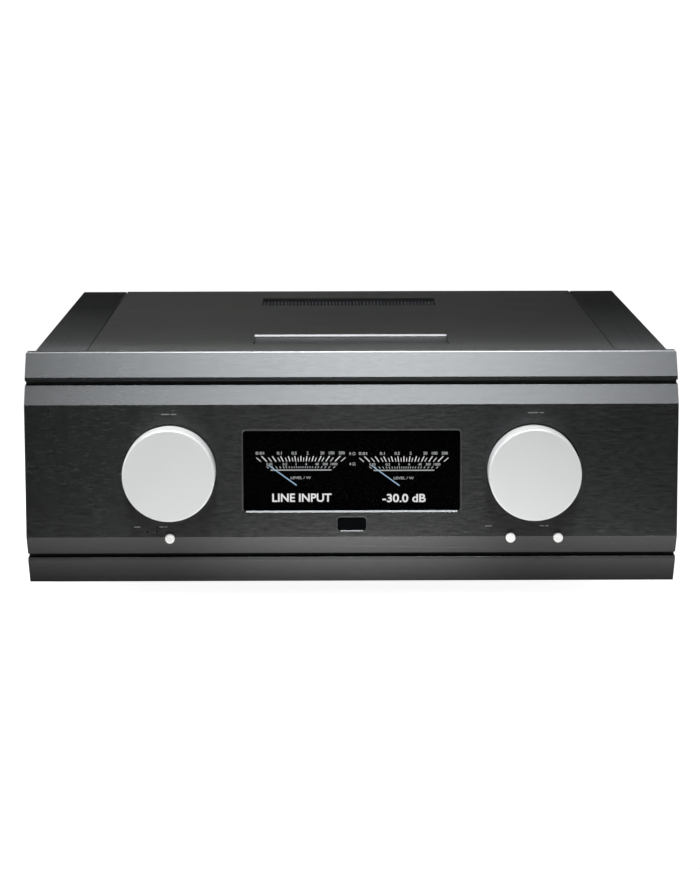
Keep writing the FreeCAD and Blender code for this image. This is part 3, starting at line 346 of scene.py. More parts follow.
# top plate, its sunk panel, grille and outer strips
COVER = dict(
    rough=0.34, pattern="x", streak=0.12, streak_rough=0.08, edge=0.4,
    edge_colour=(0.30, 0.30, 0.30), edge_r=0.0005, cloud=0.06,
    metallic=0.12, spec=0.22, painted_gap_shade=0.85,
)
# cover metal, with painted shade towards the right rear and in narrow gaps
metal("cover_metal", colour=(0.044, 0.0448, 0.0405), shade=painted_shade_at_right_rear, **COVER)
# darker copy of the cover metal for the sunk panel's floor, with painted shade against its walls
metal("recess_shade_metal", colour=(0.036, 0.0368, 0.0345), shade=painted_shade_in_corner, **COVER)
# lighter metal for the rear slope of the sunk panel: a painted highlight
metal(
    "chamfer_highlight_metal", colour=(0.080, 0.081, 0.080), rough=0.30, pattern="x",
    streak_rough=0.06, edge=0.3, edge_r=0.0003, metallic=0.5,
)
metal(
    "grille_metal", colour=(0.020, 0.0225, 0.025), rough=0.50, pattern="y", metallic=0.3,
    painted_gap_shade=0.6, streak=0.10, edge=0.45, edge_colour=(0.35, 0.35, 0.35),
)
# heatsink tops, with painted light that grows paler towards the front
metal(
    "sink_metal", colour=(0.012, 0.0122, 0.0117), rough=0.34, pattern="y", metallic=0.12,
    spec=0.22, streak=0.10, bump=3.0e-6, edge=0.5, edge_colour=(0.28, 0.28, 0.28),
    edge_r=0.0006, cloud=0.06, shade=painted_light_to_front,
)
SHEET = dict(grain=1500.0, vary=0.25)
plastic("dark_sheet", colour=(0.018,) * 3, rough=0.52, bump=3.0e-5, edge=0.35, **SHEET)
# black sheet for the front subpanel, also laid on the slot walls, the sunk panel's walls and the
# seams as painted shade
plastic("black_and_painted_shade", colour=(0.006,) * 3, rough=0.62, bump=2.0e-5, edge=0.1, **SHEET)

# parts inside and underneath
metal(
    "black_steel", colour=(0.07, 0.07, 0.07), rough=0.34, streak=0.15, bump=3.0e-6,
    edge=0.6, edge_colour=(0.4, 0.39, 0.38), edge_r=0.0003,
)
metal(
    "zinc_steel", colour=(0.58, 0.59, 0.58), rough=0.30, streak=0.08, bump=3.0e-6,
    edge=0.3, edge_r=0.0003, tint=(0.55, 0.57, 0.62),
)
metal(
    "encoder_case", colour=(0.42, 0.42, 0.41), rough=0.36, pattern="x", streak=0.08, bump=3.0e-6
)
metal("shaft_metal", colour=(0.60, 0.60, 0.59), rough=0.24, pattern="y")
metal(
    "foot_metal", colour=(0.035, 0.035, 0.036), rough=0.36, pattern="turned_z", streak=0.15,
    bump=4.0e-6, edge=0.6, edge_colour=(0.45, 0.45, 0.45), edge_r=0.0005,
)
plastic(
    "pad_rubber", colour=(0.022,) * 3, rough=0.85, grain=900.0, bump=4.0e-5, vary=0.3, spec=0.3
)
plastic(
    "capacitor_sleeve", colour=(0.012, 0.02, 0.075), rough=0.28,
    grain=700.0, bump=8.0e-6, vary=0.15, coat=0.3,
)
plastic(
    "moulded_black", colour=(0.020, 0.020, 0.021), rough=0.46, grain=2200.0, bump=1.6e-5, vary=0.2
)
metal("tube_metal", colour=(0.55, 0.53, 0.49), rough=0.28, pattern="turned_z", streak=0.08)
plastic("ribbon_grey", colour=(0.42, 0.42, 0.43), rough=0.5, grain=600.0)

# sockets, caps and small front windows
metal(
    "contact_gold", colour=(0.86, 0.60, 0.22), rough=0.20, streak=0.05,
    edge=0.35, edge_colour=(0.98, 0.80, 0.45), edge_r=0.0003, tint=(0.84, 0.56, 0.20),
)
metal(
    "socket_metal", colour=(0.46, 0.46, 0.47), rough=0.30, bump=3.0e-6, edge=0.4, edge_r=0.0003
)
CAP = dict(rough=0.24, grain=1200.0, bump=5.0e-6, coat=0.5)
plastic("cap_red", colour=(0.42, 0.008, 0.012), **CAP)
plastic("cap_black", colour=(0.016, 0.016, 0.017), **CAP)
plastic(
    "ir_plastic", colour=(0.0022, 0.003, 0.0038), rough=0.16,
    grain=400.0, bump=1.0e-6, vary=0.1, spec=0.05, edge=0.0,
)
plastic(
    "indicator_lens", colour=(0.002,) * 3, rough=0.3, grain=900.0, bump=2.0e-6, spec=0.04, edge=0.0
)
plastic("chip_black", colour=(0.018, 0.018, 0.02), rough=0.5, grain=2500.0)
metal("can_top", colour=(0.62, 0.62, 0.62), rough=0.32, streak=0.05)


# ------------------------------------------------------------------ special materials
def board_green():
    """Circuit board with a faint brick-like net of lines."""
    shader = material("board_green")
    coords = shader.coords()
    net = shader.add(
        "ShaderNodeTexBrick",
        {
            "Vector": shader.vector("MULTIPLY", coords, (1.0, 1.0, 1.0)),
            "Scale": 130.0,
            "Mortar Size": 0.06,
            "Color1": (0.0, 0.0, 0.0),
            "Color2": (0.35, 0.35, 0.35),
            "Mortar": (1.0, 1.0, 1.0),
        },
    )
    grain = shader.noise(coords, 900.0, detail=3.0)
    base = shader.mix(shader.times(net, 0.5), (0.008, 0.055, 0.028), (0.02, 0.14, 0.07))
    base = shader.mix(shader.ramp(grain, (0.4, 0.7), (0.0, 0.3)), base, (0.005, 0.03, 0.016))
    shader.principled({
        "Base Color": base,
        "Roughness": shader.ramp(grain, NOISE, (0.28, 0.42)),
        "Normal": shader.bump(grain, 2.0e-5),
        "Coat Weight": 0.2,
    })


def winding_tape():
    """Overlapping tape: a fine radial ladder round each transformer ring's own axis."""
    turns = 34
    shader = material("winding_tape")
    coords = shader.coords()
    x, y, _ = shader.split(coords)
    lo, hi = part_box("transformer_right")
    across = shader.calc("SUBTRACT", shader.calc("ABSOLUTE", x), (lo.x + hi.x) / 2)
    along = shader.calc("SUBTRACT", y, (lo.y + hi.y) / 2)
    angle = shader.calc("ARCTAN2", along, across)
    wave = shader.calc("FRACT", shader.times(angle, turns / (2 * math.pi)))
    grain = shader.noise(coords, 400.0, detail=3.0)
    base = shader.mix(
        shader.ramp(wave, (0.0, 1.0)), (0.018, 0.018, 0.021), (0.045, 0.044, 0.046)
    )
    height = shader.plus(shader.times(wave, 1.0), shader.times(grain, 0.2))
    shader.principled({
        "Base Color": base,
        "Roughness": shader.ramp(grain, NOISE, (0.26, 0.42)),
        "Normal": shader.bump(height, 3.0e-4),
        "Coat Weight": 0.3,
    })


def display_glass():
    """Clear dark glass with faint smears."""
    shader = material("display_glass")
    coords = shader.coords()
    patches = shader.noise(coords, 22.0, detail=3.0)
    stretched = shader.vector("MULTIPLY", coords, (40.0, 1.0, 160.0))
    smears = shader.noise(stretched, 1.0, detail=3.0)
    shader.principled({
        "Base Color": shader.mix(patches, (0.002, 0.002, 0.0025), (0.004, 0.004, 0.005)),
        "Roughness": shader.ramp(smears, NOISE, (0.03, 0.09)),
        "Alpha": 0.20,
        "IOR": 1.5,
        "Specular IOR Level": 0.03,
    })
    MATERIALS["display_glass"].use_transparent_shadow = True


def screen_black():
    shader = material("screen_black")
    grain = shader.noise(shader.coords(), 1800.0, detail=1.0)
    shader.principled({
        "Base Color": shader.mix(grain, (0.0008, 0.0008, 0.001), (0.0018, 0.0018, 0.0022)),
        "Roughness": shader.ramp(grain, NOISE, (0.3, 0.4)),
        "Specular IOR Level": 0.0,
    })


def glow(name, colour, strength):
    """Lit display graphics."""
    shader = material(name)
    grain = shader.noise(shader.coords(), 2500.0, detail=1.0)
    shader.principled({
        "Base Color": tuple(c * 0.2 for c in colour),
        "Roughness": 0.5,
        "Emission Color": shader.scale(colour, shader.ramp(grain, NOISE, (0.94, 1.06))),
        "Emission Strength": strength,
    })


board_green()
winding_tape()
display_glass()
screen_black()
glow("glow_white", colour=(1.0, 1.0, 1.0), strength=1.1)
glow("glow_grey", colour=(0.86, 0.88, 0.90), strength=0.62)
glow("glow_blue", colour=(0.38, 0.60, 0.82), strength=1.0)
INK = dict(rough=0.6, grain=4000.0, bump=2.0e-6, vary=0.15, edge=0.0)
plastic("ink_grey", colour=(0.24, 0.245, 0.24), **INK)
plastic("ink_white", colour=(0.62, 0.62, 0.61), **INK)
plastic("insulator_white", colour=(0.70, 0.70, 0.68), rough=0.35, grain=1500.0)
plastic("insulator_red", colour=(0.50, 0.012, 0.015), rough=0.35, grain=1500.0)

# ------------------------------------------------------------------ materials on the CAD pieces
OWN_MATERIAL = {
    "source_knob": "source_knob_metal",
    "volume_knob": "volume_knob_metal",
    "front_subpanel": "black_and_painted_shade",
}
slot_of = {row["node"]: row["material_slot"] for row in frame["record"]["subparts"]}
for name, piece in NODES.items():
    piece.data.materials.clear()
    piece.data.materials.append(MATERIALS[OWN_MATERIAL.get(name) or slot_of[name]])
    for polygon in piece.data.polygons:
        polygon.material_index = 0


def repaint(material_name, test, *nodes):
    """Another material for the faces whose centre (millimetres) and normal pass the test."""
    for node in nodes:
        mesh = NODES[node].data
        mesh.materials.append(MATERIALS[material_name])
        for polygon in mesh.polygons:
            if test(polygon.center * 1000.0, polygon.normal):
                polygon.material_index = len(mesh.materials) - 1


def near_xlr(at, radius):
    """Whether a point lies near the axis of either XLR socket."""
    return any((at.x - x) ** 2 + (at.z - XLR_Z) ** 2 < radius * radius for x in (-XLR_X, XLR_X))


rail_top = box_mm("fascia_top_rail", HIGH, "z")
cover_top = box_mm("top_cover", HIGH, "z")
can_low = box_mm("reservoir_capacitors", LOW, "z")
can_high = box_mm("reservoir_capacitors", HIGH, "z")

# flat front of the fascia
repaint("face_metal", lambda at, normal: normal.y < -0.99 and at.y < -231.0, "fascia_main")
# slope along the upper front edge of the rail, in a lighter copy of the fascia metal: a painted
# highlight
repaint(
    "fascia_crest_highlight",
    lambda at, normal: at.z > rail_top - 1.8 and normal.z > 0.58 and -0.80 < normal.y < -0.02,
    "fascia_top_rail",
)
# upright faces in the middle of the cover's rear part, the walls of the slot, in black: painted
# shade
repaint(
    "black_and_painted_shade",
    lambda at, normal: abs(normal.z) < 0.3 and 112.5 < at.y < 175.5 and abs(at.x) < 75.5,
    "top_cover",
)
# floor of the sunk panel, 2 mm down, in a darker copy of the cover metal: painted shade, deepest
# against its walls
repaint(
    "recess_shade_metal",
    lambda at, normal: normal.z > 0.9 and cover_top - 2.2 < at.z < cover_top - 1.8
    and -165.0 < at.y < -103.0 and abs(at.x) < 75.0,
    "top_cover",
)
# side walls of the sunk panel, in black: painted shade
repaint(
    "black_and_painted_shade",
    lambda at, normal: abs(normal.x) > 0.9 and at.z > cover_top - 2.1
    and -165.0 < at.y < -101.0 and 74.0 < abs(at.x) < 75.5,
    "top_cover",
)
# outer sides of the cover, in black: a painted shade line along the seam
repaint("black_and_painted_shade", lambda at, normal: abs(normal.x) > 0.9 and abs(at.x) > 196.0, "top_cover")
# slope along the cover's left upper edge, in black: painted shade along the left seam
repaint(
    "black_and_painted_shade",
    lambda at, normal: 0.3 < abs(normal.x) < 0.9 and at.x < -196.0 and at.z > cover_top - 0.6,
    "top_cover",
)
# upper inner sides of the heatsinks, along the cover, in black: painted shade along the seams
repaint(
    "black_and_painted_shade",
    lambda at, normal: abs(normal.x) > 0.9 and abs(at.x) < 198.4 and at.z > cover_top - 5.0,
    "heatsink_left", "heatsink_right",
)
# slope at the rear of the sunk panel, in a lighter metal: a painted highlight
repaint(
    "chamfer_highlight_metal",
    lambda at, normal: 0.3 < normal.z < 0.95 and -105.0 < at.y < -101.0 and abs(at.x) < 75.5,
    "top_cover",
)
# whatever stands on the boards
repaint(
    "chip_black",
    lambda at, normal: at.z > can_low + 0.05,
    "power_supply_board", "amp_board_left", "amp_board_right",
)
repaint("chip_black", lambda at, normal: at.y < -212.05 or at.y > -210.35, "front_control_board")
repaint("chip_black", lambda at, normal: at.y < 215.95, "preamp_board")
# tops of the capacitor cans
repaint(
    "can_top", lambda at, normal: normal.z > 0.8 and at.z > can_high - 2.0, "reservoir_capacitors"
)
# lower part of the transistors, upper part of the rectifiers
repaint("zinc_steel", lambda at, normal: at.z < 32.9, "output_transistors")
repaint("zinc_steel", lambda at, normal: at.z > 24.05, "bridge_rectifiers")
# round inserts of the XLR sockets
repaint("moulded_black", lambda at, normal: near_xlr(at, 9.55) and at.y > 218.0, "xlr_sockets")
# blades in the mains inlet, without the wall behind them
repaint(
    "zinc_steel",
    lambda at, normal: 219.5 < at.y < 236.1 and 0.0 < abs(at.x) < 9.2 and 52.0 < at.z < 59.0
    and not (normal.y > 0.5 and at.y < 222.0),
    "mains_inlet",
)
# the display module behind its screen
repaint("chip_black", lambda at, normal: at.y > -219.9, "display_module")


# ------------------------------------------------------------------ mesh builders (millimetres)
# Outlines are (x, z) points; depth is the pair of y planes between which they stand.
def add_object(name, mesh, material_name, body="chassis"):
    piece = bpy.data.objects.new(name, mesh)
    SCENE.collection.objects.link(piece)
    mesh.materials.append(MATERIALS[material_name])
    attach(piece, body)


def to_mesh(bm, name):
    bmesh.ops.recalc_face_normals(bm, faces=bm.faces[:])
    mesh = bpy.data.meshes.new(name)
    bm.to_mesh(mesh)
    bm.free()
    return mesh


def add_loop(bm, points, y):
    return [bm.verts.new((x * MM, y * MM, z * MM)) for x, z in points]


def add_plate(bm, points, depth):
    """A closed plate."""
    near, far = [add_loop(bm, points, y) for y in depth]
    bm.faces.new(near)
    bm.faces.new(list(reversed(far)))
    count = len(points)
    for i in range(count):
        j = (i + 1) % count
        bm.faces.new((near[j], near[i], far[i], far[j]))


def add_band(bm, inner, outer, depth):
    """A closed band between two outlines."""
    y0, y1 = depth
    corners = ((inner, y0), (outer, y0), (outer, y1), (inner, y1))
    loops = [add_loop(bm, points, y) for points, y in corners]
    count = len(inner)
    for a, loop in enumerate(loops):
        following = loops[(a + 1) % 4]
        for i in range(count):
            j = (i + 1) % count
            bm.faces.new((loop[i], loop[j], following[j], following[i]))


def add_ring(bm, cx, cz, radii, depth, segments):
    angles = [2 * math.pi * i / segments for i in range(segments)]
    inner, outer = [[(cx + r * math.cos(a), cz + r * math.sin(a)) for a in angles] for r in radii]
    add_band(bm, inner, outer, depth)


def rectangle(x0, x1, z0, z1):
    return [(x0, z0), (x1, z0), (x1, z1), (x0, z1)]


def stroke(p, q, width):
    """Corners of a straight stroke from p to q."""
    along = Vector((q[0] - p[0], q[1] - p[1]))
    along.normalize()
    side = Vector((-along.y, along.x)) * (width / 2)
    return [
        (p[0] + side.x, p[1] + side.y),
        (p[0] - side.x, p[1] - side.y),
        (q[0] - side.x, q[1] - side.y),
        (q[0] + side.x, q[1] + side.y),
    ]


TO_FRONT, TO_REAR = -1, 1  # the way letters face along y


def text_mesh(words, height, centre, y, thick, bold, width=None, facing=TO_FRONT):
    """Closed letters centred at (x, z) on the plane y, as high and wide as given."""
    curve = bpy.data.curves.new("text", "FONT")
    curve.body = words
    curve.offset = bold
    curve.extrude = 0.5
    curve.resolution_u = 6
    piece = bpy.data.objects.new("text", curve)
    SCENE.collection.objects.link(piece)
    bpy.context.view_layer.update()
    depsgraph = bpy.context.evaluated_depsgraph_get()
    mesh = bpy.data.meshes.new_from_object(piece.evaluated_get(depsgraph))
    bpy.data.objects.remove(piece)
    bpy.data.curves.remove(curve)
    xs = [v.co.x for v in mesh.vertices]
    ys = [v.co.y for v in mesh.vertices]
    scale_z = height / (max(ys) - min(ys))
    scale_x = width / (max(xs) - min(xs)) if width else scale_z
    middle_x, middle_y = (max(xs) + min(xs)) / 2, (max(ys) + min(ys)) / 2
    for v in mesh.vertices:
        x = centre[0] - facing * (v.co.x - middle_x) * scale_x
        z = centre[1] + (v.co.y - middle_y) * scale_z
        v.co = Vector((x * MM, (y + facing * v.co.z * thick) * MM, z * MM))
    return mesh


def join(meshes, name):
    bm = bmesh.new()
    for mesh in meshes:
        bm.from_mesh(mesh)
        bpy.data.meshes.remove(mesh)
    bmesh.ops.remove_doubles(bm, verts=bm.verts[:], dist=1e-9)
    joined = bpy.data.meshes.new(name)
    bm.to_mesh(joined)
    bm.free()
    return joined


# ------------------------------------------------------------------ display graphics
GRAPHIC_Y = SCREEN_Y - 0.02
GRAPHIC_DEPTH = (SCREEN_Y - 0.10, GRAPHIC_Y)
POINTER_DEPTH = tuple(y - 0.08 for y in GRAPHIC_DEPTH)

# centre of each meter, and how far it is shifted in height
METERS = ((-37.6, 0.0), (38.75, -0.42))
# ticks fan out from a pivot; these are their places along the foot line, mirrored about 0
TICK_X = [-29.7, -25.3, -21.76, -18.43, -15.41, -13.03, -10.38, -8.1, -5.88, -3.92, -1.91, 0.0]
TICK_X = TICK_X + [-x for x in reversed(TICK_X[:-1])]
PIVOT_Z, TICK_FOOT_Z = 80.8, 106.6
LONG_TICK = (110.6, 0.66)  # top z, width
SHORT_TICK = (109.5, 0.50)
FINE_Z0, FINE_Z1, FINE_WIDTH = 101.55, 102.95, 0.55
# numbers: words, x from the meter's centre, width
UPPER_NUMBERS = (
    ("0.01", -30.4, 6.2), ("0.1", -16.0, 3.6), ("0.5", -5.0, 3.8), ("2", 5.0, 1.5),
    ("20", 15.9, 2.9), ("100", 22.8, 4.2), ("500", 30.3, 4.5),
)
LOWER_NUMBERS = (
    ("0.02", -23.3, 4.6), ("0.2", -11.9, 3.3), ("1", -3.6, 0.55), ("4", 3.8, 1.4),
    ("40", 11.9, 2.6), ("200", 18.0, 3.8), ("1000", 24.6, 5.0),
)
# rows of numbers: entries, z, height
NUMBER_ROWS = ((UPPER_NUMBERS, 112.9, 2.25), (LOWER_NUMBERS, 104.6, 1.85))


def display_text(words, x, z, height, width, bold):
    return text_mesh(words, height, (x, z), GRAPHIC_Y, thick=0.08, bold=bold, width=width)


def on_ray(pivot_x, pivot_z, foot, z):
    """The point at height z on the line from the pivot through the tick's foot."""
    share = (z - pivot_z) / (foot.y - pivot_z)
    return (pivot_x + (foot.x - pivot_x) * share, z)


def add_ticks(scale_marks, fine_marks, meter_x, shift):
    pivot = (meter_x, PIVOT_Z + shift)
    for i, tick_x in enumerate(TICK_X):
        foot = Vector((meter_x + tick_x, TICK_FOOT_Z + shift))
        top, width = LONG_TICK if i % 2 == 1 else SHORT_TICK
        tip = Vector(on_ray(*pivot, foot, top + shift))
        add_plate(scale_marks, stroke(foot, tip, width), GRAPHIC_DEPTH)
        ends = [on_ray(*pivot, foot, z + shift) for z in (FINE_Z0, FINE_Z1)]
        add_plate(fine_marks, stroke(*ends, FINE_WIDTH), GRAPHIC_DEPTH)


def add_pointer(bm, meter_x, shift):
    """A thin pointer, a little narrower at its upper end."""
    upper = Vector((meter_x - 24.0, 103.8 + shift))
    lower = Vector((meter_x - 3.25, 88.65 + shift))
    upper_half, lower_half = 0.34, 0.46
    along = (lower - upper).normalized()
    side = Vector((-along.y, along.x))
    corners = [
        upper + side * upper_half,
        upper - side * upper_half,
        lower - side * lower_half,
        lower + side * lower_half,
    ]
    add_plate(bm, corners, POINTER_DEPTH)


def display_graphics():
    scale_marks, fine_marks, pointers = bmesh.new(), bmesh.new(), bmesh.new()
    letters = []
    for meter_x, shift in METERS:
        add_ticks(scale_marks, fine_marks, meter_x, shift)
        line_z = 100.15 + shift
        line = stroke((meter_x - 22.5, line_z), (meter_x + 22.6, line_z), 0.85)
        add_plate(fine_marks, line, GRAPHIC_DEPTH)
        for numbers, z, height in NUMBER_ROWS:
            for words, x, width in numbers:
                letters.append(
                    display_text(words, meter_x + x, z + shift, height, width, bold=0.018)
                )
        add_pointer(pointers, meter_x, shift)
        letters.append(
            display_text("LEVEL / W", meter_x - 0.1, 94.35 + shift, 1.95, 15.0, bold=0.014)
        )
    for words, z in (("8 Ω", 112.4), ("4 Ω", 104.7)):
        letters.append(display_text(words, 0.5, z, height=2.3, width=4.6, bold=0.012))
    readouts = [
        display_text("LINE INPUT", -37.0, 79.3, height=6.3, width=44.0, bold=0.020),
        display_text("-30.0 dB", 38.9, 78.85, height=6.3, width=32.2, bold=0.020),
    ]
    for name, mesh, material_name in (
        ("display_scale_marks", to_mesh(scale_marks, "display_scale_marks"), "glow_white"),
        ("display_fine_marks", to_mesh(fine_marks, "display_fine_marks"), "glow_grey"),
        ("display_pointers", to_mesh(pointers, "display_pointers"), "glow_blue"),
        ("display_scale_numbers", join(letters, "display_scale_numbers"), "glow_grey"),
        ("display_readouts", join(readouts, "display_readouts"), "glow_white"),
    ):
        add_object(name, mesh, material_name)


display_graphics()

# ------------------------------------------------------------------ printed marks on the front
# rows of dashes: centre x, centre z, lengths from left to right with gaps as negative numbers
DASH_ROWS = (
    (-134.8, 142.9, (6.0, -1.0, 4.2)),
    (136.2, 143.5, (7.6, -1.0, 3.2)),
    (-159.2, 58.6, (4.6,)),
    (-139.7, 58.6, (3.4, -0.8, 1.8)),
    (101.4, 58.7, (5.2,)),
    (142.6, 58.7, (3.6, -0.8, 2.4)),
)
DASH_HEIGHT = 0.85


def front_marks():
    bm = bmesh.new()
    for cx, cz, lengths in DASH_ROWS:
        x = cx - sum(abs(length) for length in lengths) / 2
        for length in lengths:
            if length > 0:
                dash = rectangle(x, x + length, cz - DASH_HEIGHT / 2, cz + DASH_HEIGHT / 2)
                add_plate(bm, dash, (FACE_Y - 0.025, FACE_Y + 0.01))
            x += abs(length)
    mesh = to_mesh(bm, "front_printed_marks")
    add_object("front_printed_marks", mesh, "ink_grey")


front_marks()

# ------------------------------------------------------------------ rear
PHONO_X = [26.0 * (i - 2.5) for i in range(6)]
POST_X, POST_PLUS_Z, POST_MINUS_Z = 168.0, 92.0, 58.0
PRINT_DEPTH = (REAR_Y - 0.01, REAR_Y + 0.03)
FRAME_LINE, SIGN_LINE, SIGN_HALF = 0.35, 0.5, 1.5
ROCKER_Y, ROCKER_Z, ROCKER_TILT = 236.5, 78.0, math.radians(9.0)


def phono_insulators(name, z, material_name):
    bm = bmesh.new()
    for x in PHONO_X:
        add_ring(bm, x, z, radii=(1.70, 3.26), depth=(247.32, 247.75), segments=40)
    add_object(name, to_mesh(bm, name), material_name)


def add_frame(bm, x, half_width, z0, z1):
    """A printed rectangular outline."""
    x0, x1, line = x - half_width, x + half_width, FRAME_LINE
    inner = rectangle(x0 + line, x1 - line, z0 + line, z1 - line)
    add_band(bm, inner, rectangle(x0, x1, z0, z1), PRINT_DEPTH)


def rear_text(words, height, x, z, bold):
    y = PRINT_DEPTH[1] - 0.02
    return text_mesh(words, height, (x, z), y, thick=0.04, bold=bold, facing=TO_REAR)


def rear_marks():
    bm = bmesh.new()
    for x in PHONO_X:
        add_frame(bm, x, 11.6, 111.5, 162.5)
    for x in (-XLR_X, XLR_X):
        add_frame(bm, x, 17.5, XLR_Z - 20.5, XLR_Z + 20.5)
    for side in (-1, 1):
        add_frame(bm, side * POST_X, 17.5, 42.0, 113.0)
        # plus and minus beside the posts
        x = side * (POST_X - 14.2)
        for z in (POST_PLUS_Z, POST_MINUS_Z):
            level = stroke((x - SIGN_HALF, z), (x + SIGN_HALF, z), SIGN_LINE)
            add_plate(bm, level, PRINT_DEPTH)
            if z == POST_PLUS_Z:
                for low, high in ((SIGN_LINE / 2, SIGN_HALF), (-SIGN_HALF, -SIGN_LINE / 2)):
                    upright = stroke((x, z + low), (x, z + high), SIGN_LINE)
                    add_plate(bm, upright, PRINT_DEPTH)
    add_frame(bm, -60.0, 9.0, 55.5, 94.5)
    meshes = [to_mesh(bm, "rear_lines")]
    for i, x in enumerate(PHONO_X):
        meshes.append(rear_text(str(i + 1), 2.6, x, 159.2, bold=0.01))
    for side in (-1, 1):
        meshes.append(rear_text("4 - 8 Ω", 2.4, side * POST_X, 109.2, bold=0.008))
    mesh = join(meshes, "rear_printed_marks")
    add_object("rear_printed_marks", mesh, "ink_white")


def rocker_marks():
    """A stroke and a ring, built flat and then laid on the rocker's two sloping flats."""
    mark_x, depth = 6.6, (0.0, 0.12)
    bm = bmesh.new()
    add_ring(bm, -mark_x, 0.0, radii=(1.25, 1.75), depth=depth, segments=32)
    add_plate(bm, stroke((mark_x, -1.6), (mark_x, 1.6), 0.5), depth)
    mesh = to_mesh(bm, "rocker_marks")
    cos, sin = math.cos(-ROCKER_TILT), math.sin(-ROCKER_TILT)
    for v in mesh.vertices:
        x, y, z = v.co * 1000.0
        out = 4.0 + abs(x) * math.tan(ROCKER_TILT) + y - 0.02
        v.co = Vector((
            (cos * x - sin * out) * MM,
            (ROCKER_Y + sin * x + cos * out) * MM,
            (ROCKER_Z + z) * MM,
        ))
    add_object("rocker_marks", mesh, "ink_white", body="power_rocker")


phono_insulators("phono_insulators_upper", 150.0, "insulator_white")
phono_insulators("phono_insulators_lower", 124.0, "insulator_red")
rear_marks()
rocker_marks()

# ------------------------------------------------------------------ floor
BACKDROP = 1.05  # brightness of the far floor and the background, as the camera sees them
FLOOR_LIFT = 0.93  # extra brightness of the near floor, as the camera sees it
FLOOR_HALF, FLOOR_Z = 12.0, -0.0002


def floor_reflection(shader, x, y):
    """Brightness that shiny pieces see in the floor: a pool of light in front of the
    amplifier, darker far in front and close underneath, bright again beside and behind."""
    middle = shader.bell(x, centre=-0.014, width=0.105)
    near = shader.ramp(y, (-0.375, -0.285), smooth=True)
    under = shader.ramp(y, (-0.262, -0.205), (1.0, 0.10), smooth=True)
    to_right = shader.ramp(x, (-0.25, 0.25), (1.36, 1.98))
    near_pool = shader.calc("MULTIPLY_ADD", middle, 2.05, to_right)
    # painted shadows of the two knobs in the pool of light
    for knob_x in (-0.1345, 0.1345):
        painted_knob_shadow = shader.bell(x, centre=knob_x, width=0.036)
        near_pool = shader.times(near_pool, shader.calc("MULTIPLY_ADD", painted_knob_shadow, -0.26, 1.0))
    far_middle = shader.bell(x, centre=0.0, width=0.14)
    far_pool = shader.calc("MULTIPLY_ADD", far_middle, 0.46, 0.0)
    far = shader.calc("SUBTRACT", 1.0, near)
    pool = shader.plus(shader.times(near_pool, near), shader.times(far_pool, far))
    pool = shader.times(pool, under)
    beside = shader.ramp(shader.calc("ABSOLUTE", x), (0.34, 0.62), smooth=True)
    behind = shader.ramp(y, (0.27, 0.50), smooth=True)
    around = shader.calc("MAXIMUM", beside, behind)
    return shader.calc("MULTIPLY_ADD", around, 0.75, pool)


def floor_pale():
    shader = material("floor_pale")
    place = shader.add("ShaderNodeNewGeometry")
    x, y, _ = shader.split(place)
    pale = shader.mix(shader.noise(place, 3.0), (0.90, 0.90, 0.90), (0.92, 0.92, 0.92))
    diffuse = shader.add("ShaderNodeBsdfDiffuse", {0: pale})
    lift = shader.add("ShaderNodeEmission", {1: FLOOR_LIFT})
    lit = shader.add("ShaderNodeAddShader", {0: diffuse, 1: lift})
    clean = shader.add("ShaderNodeEmission", {1: BACKDROP})
    distance = shader.vector("LENGTH", shader.vector("MULTIPLY", place, (1.0, 0.9, 0.0)), out=1)
    fade = shader.mix_shader(shader.ramp(distance, (0.34, 0.80), smooth=True), lit, clean)
    brightness = floor_reflection(shader, x, y)
    mirrored = shader.add("ShaderNodeEmission", {0: (1.01, 1.0, 0.99), 1: brightness})
    to_camera = shader.add("ShaderNodeLightPath", out="Is Camera Ray")
    plain = shader.mix_shader(to_camera, diffuse, fade)
    to_shiny = to_camera.node.outputs["Is Glossy Ray"]
    shader.output("Material", shader.mix_shader(to_shiny, plain, mirrored))


def build_floor():
    bm = bmesh.new()
    half = FLOOR_HALF
    corners = ((-half, -half, 0), (half, -half, 0), (half, half, 0), (-half, half, 0))
    bm.faces.new([bm.verts.new(corner) for corner in corners])
    mesh = bpy.data.meshes.new("floor")
    bm.to_mesh(mesh)
    bm.free()
    floor = bpy.data.objects.new("floor", mesh)
    SCENE.collection.objects.link(floor)
    floor.location.z = FLOOR_Z
    mesh.materials.append(MATERIALS["floor_pale"])


floor_pale()
build_floor()

# ------------------------------------------------------------------ world
OVER_X, OVER_WIDTH, OVER_LIGHT = 0.016, 0.068, 7.1  # overhead light, placed by direction
ROOM_BACK, ROOM_FRONT = 0.02, 0.03
SIDE_LIGHT = 1.4


def world_reflection(shader):
    """Brightness that shiny pieces see around them, by direction."""
    x, y, z = shader.split(shader.add("ShaderNodeTexCoord"))
    # a long soft light overhead, narrow from side to side, in a dim room
    narrow = shader.bell(x, centre=OVER_X, width=OVER_WIDTH)
    high = shader.ramp(z, (0.36, 0.80), smooth=True)
    length = shader.ramp(y, (0.26, 0.56), (OVER_LIGHT, 0.0), smooth=True)
    over = shader.times(shader.times(narrow, high), length)
    over = shader.times(over, shader.ramp(z, (0.955, 0.995), (1.0, 4.4), smooth=True))
    room = shader.plus(
        shader.ramp(y, (0.3, -0.9), (ROOM_FRONT, ROOM_BACK), smooth=True),
        shader.times(high, 0.06),
    )
    # broad light at both sides
    wide = shader.times(
        shader.ramp(shader.calc("ABSOLUTE", x), (0.40, 0.80), (0.0, SIDE_LIGHT), smooth=True),
        shader.ramp(z, (-0.1, 0.95), (1.25, 0.45)),
    )
    return shader.plus(shader.plus(over, room), wide)


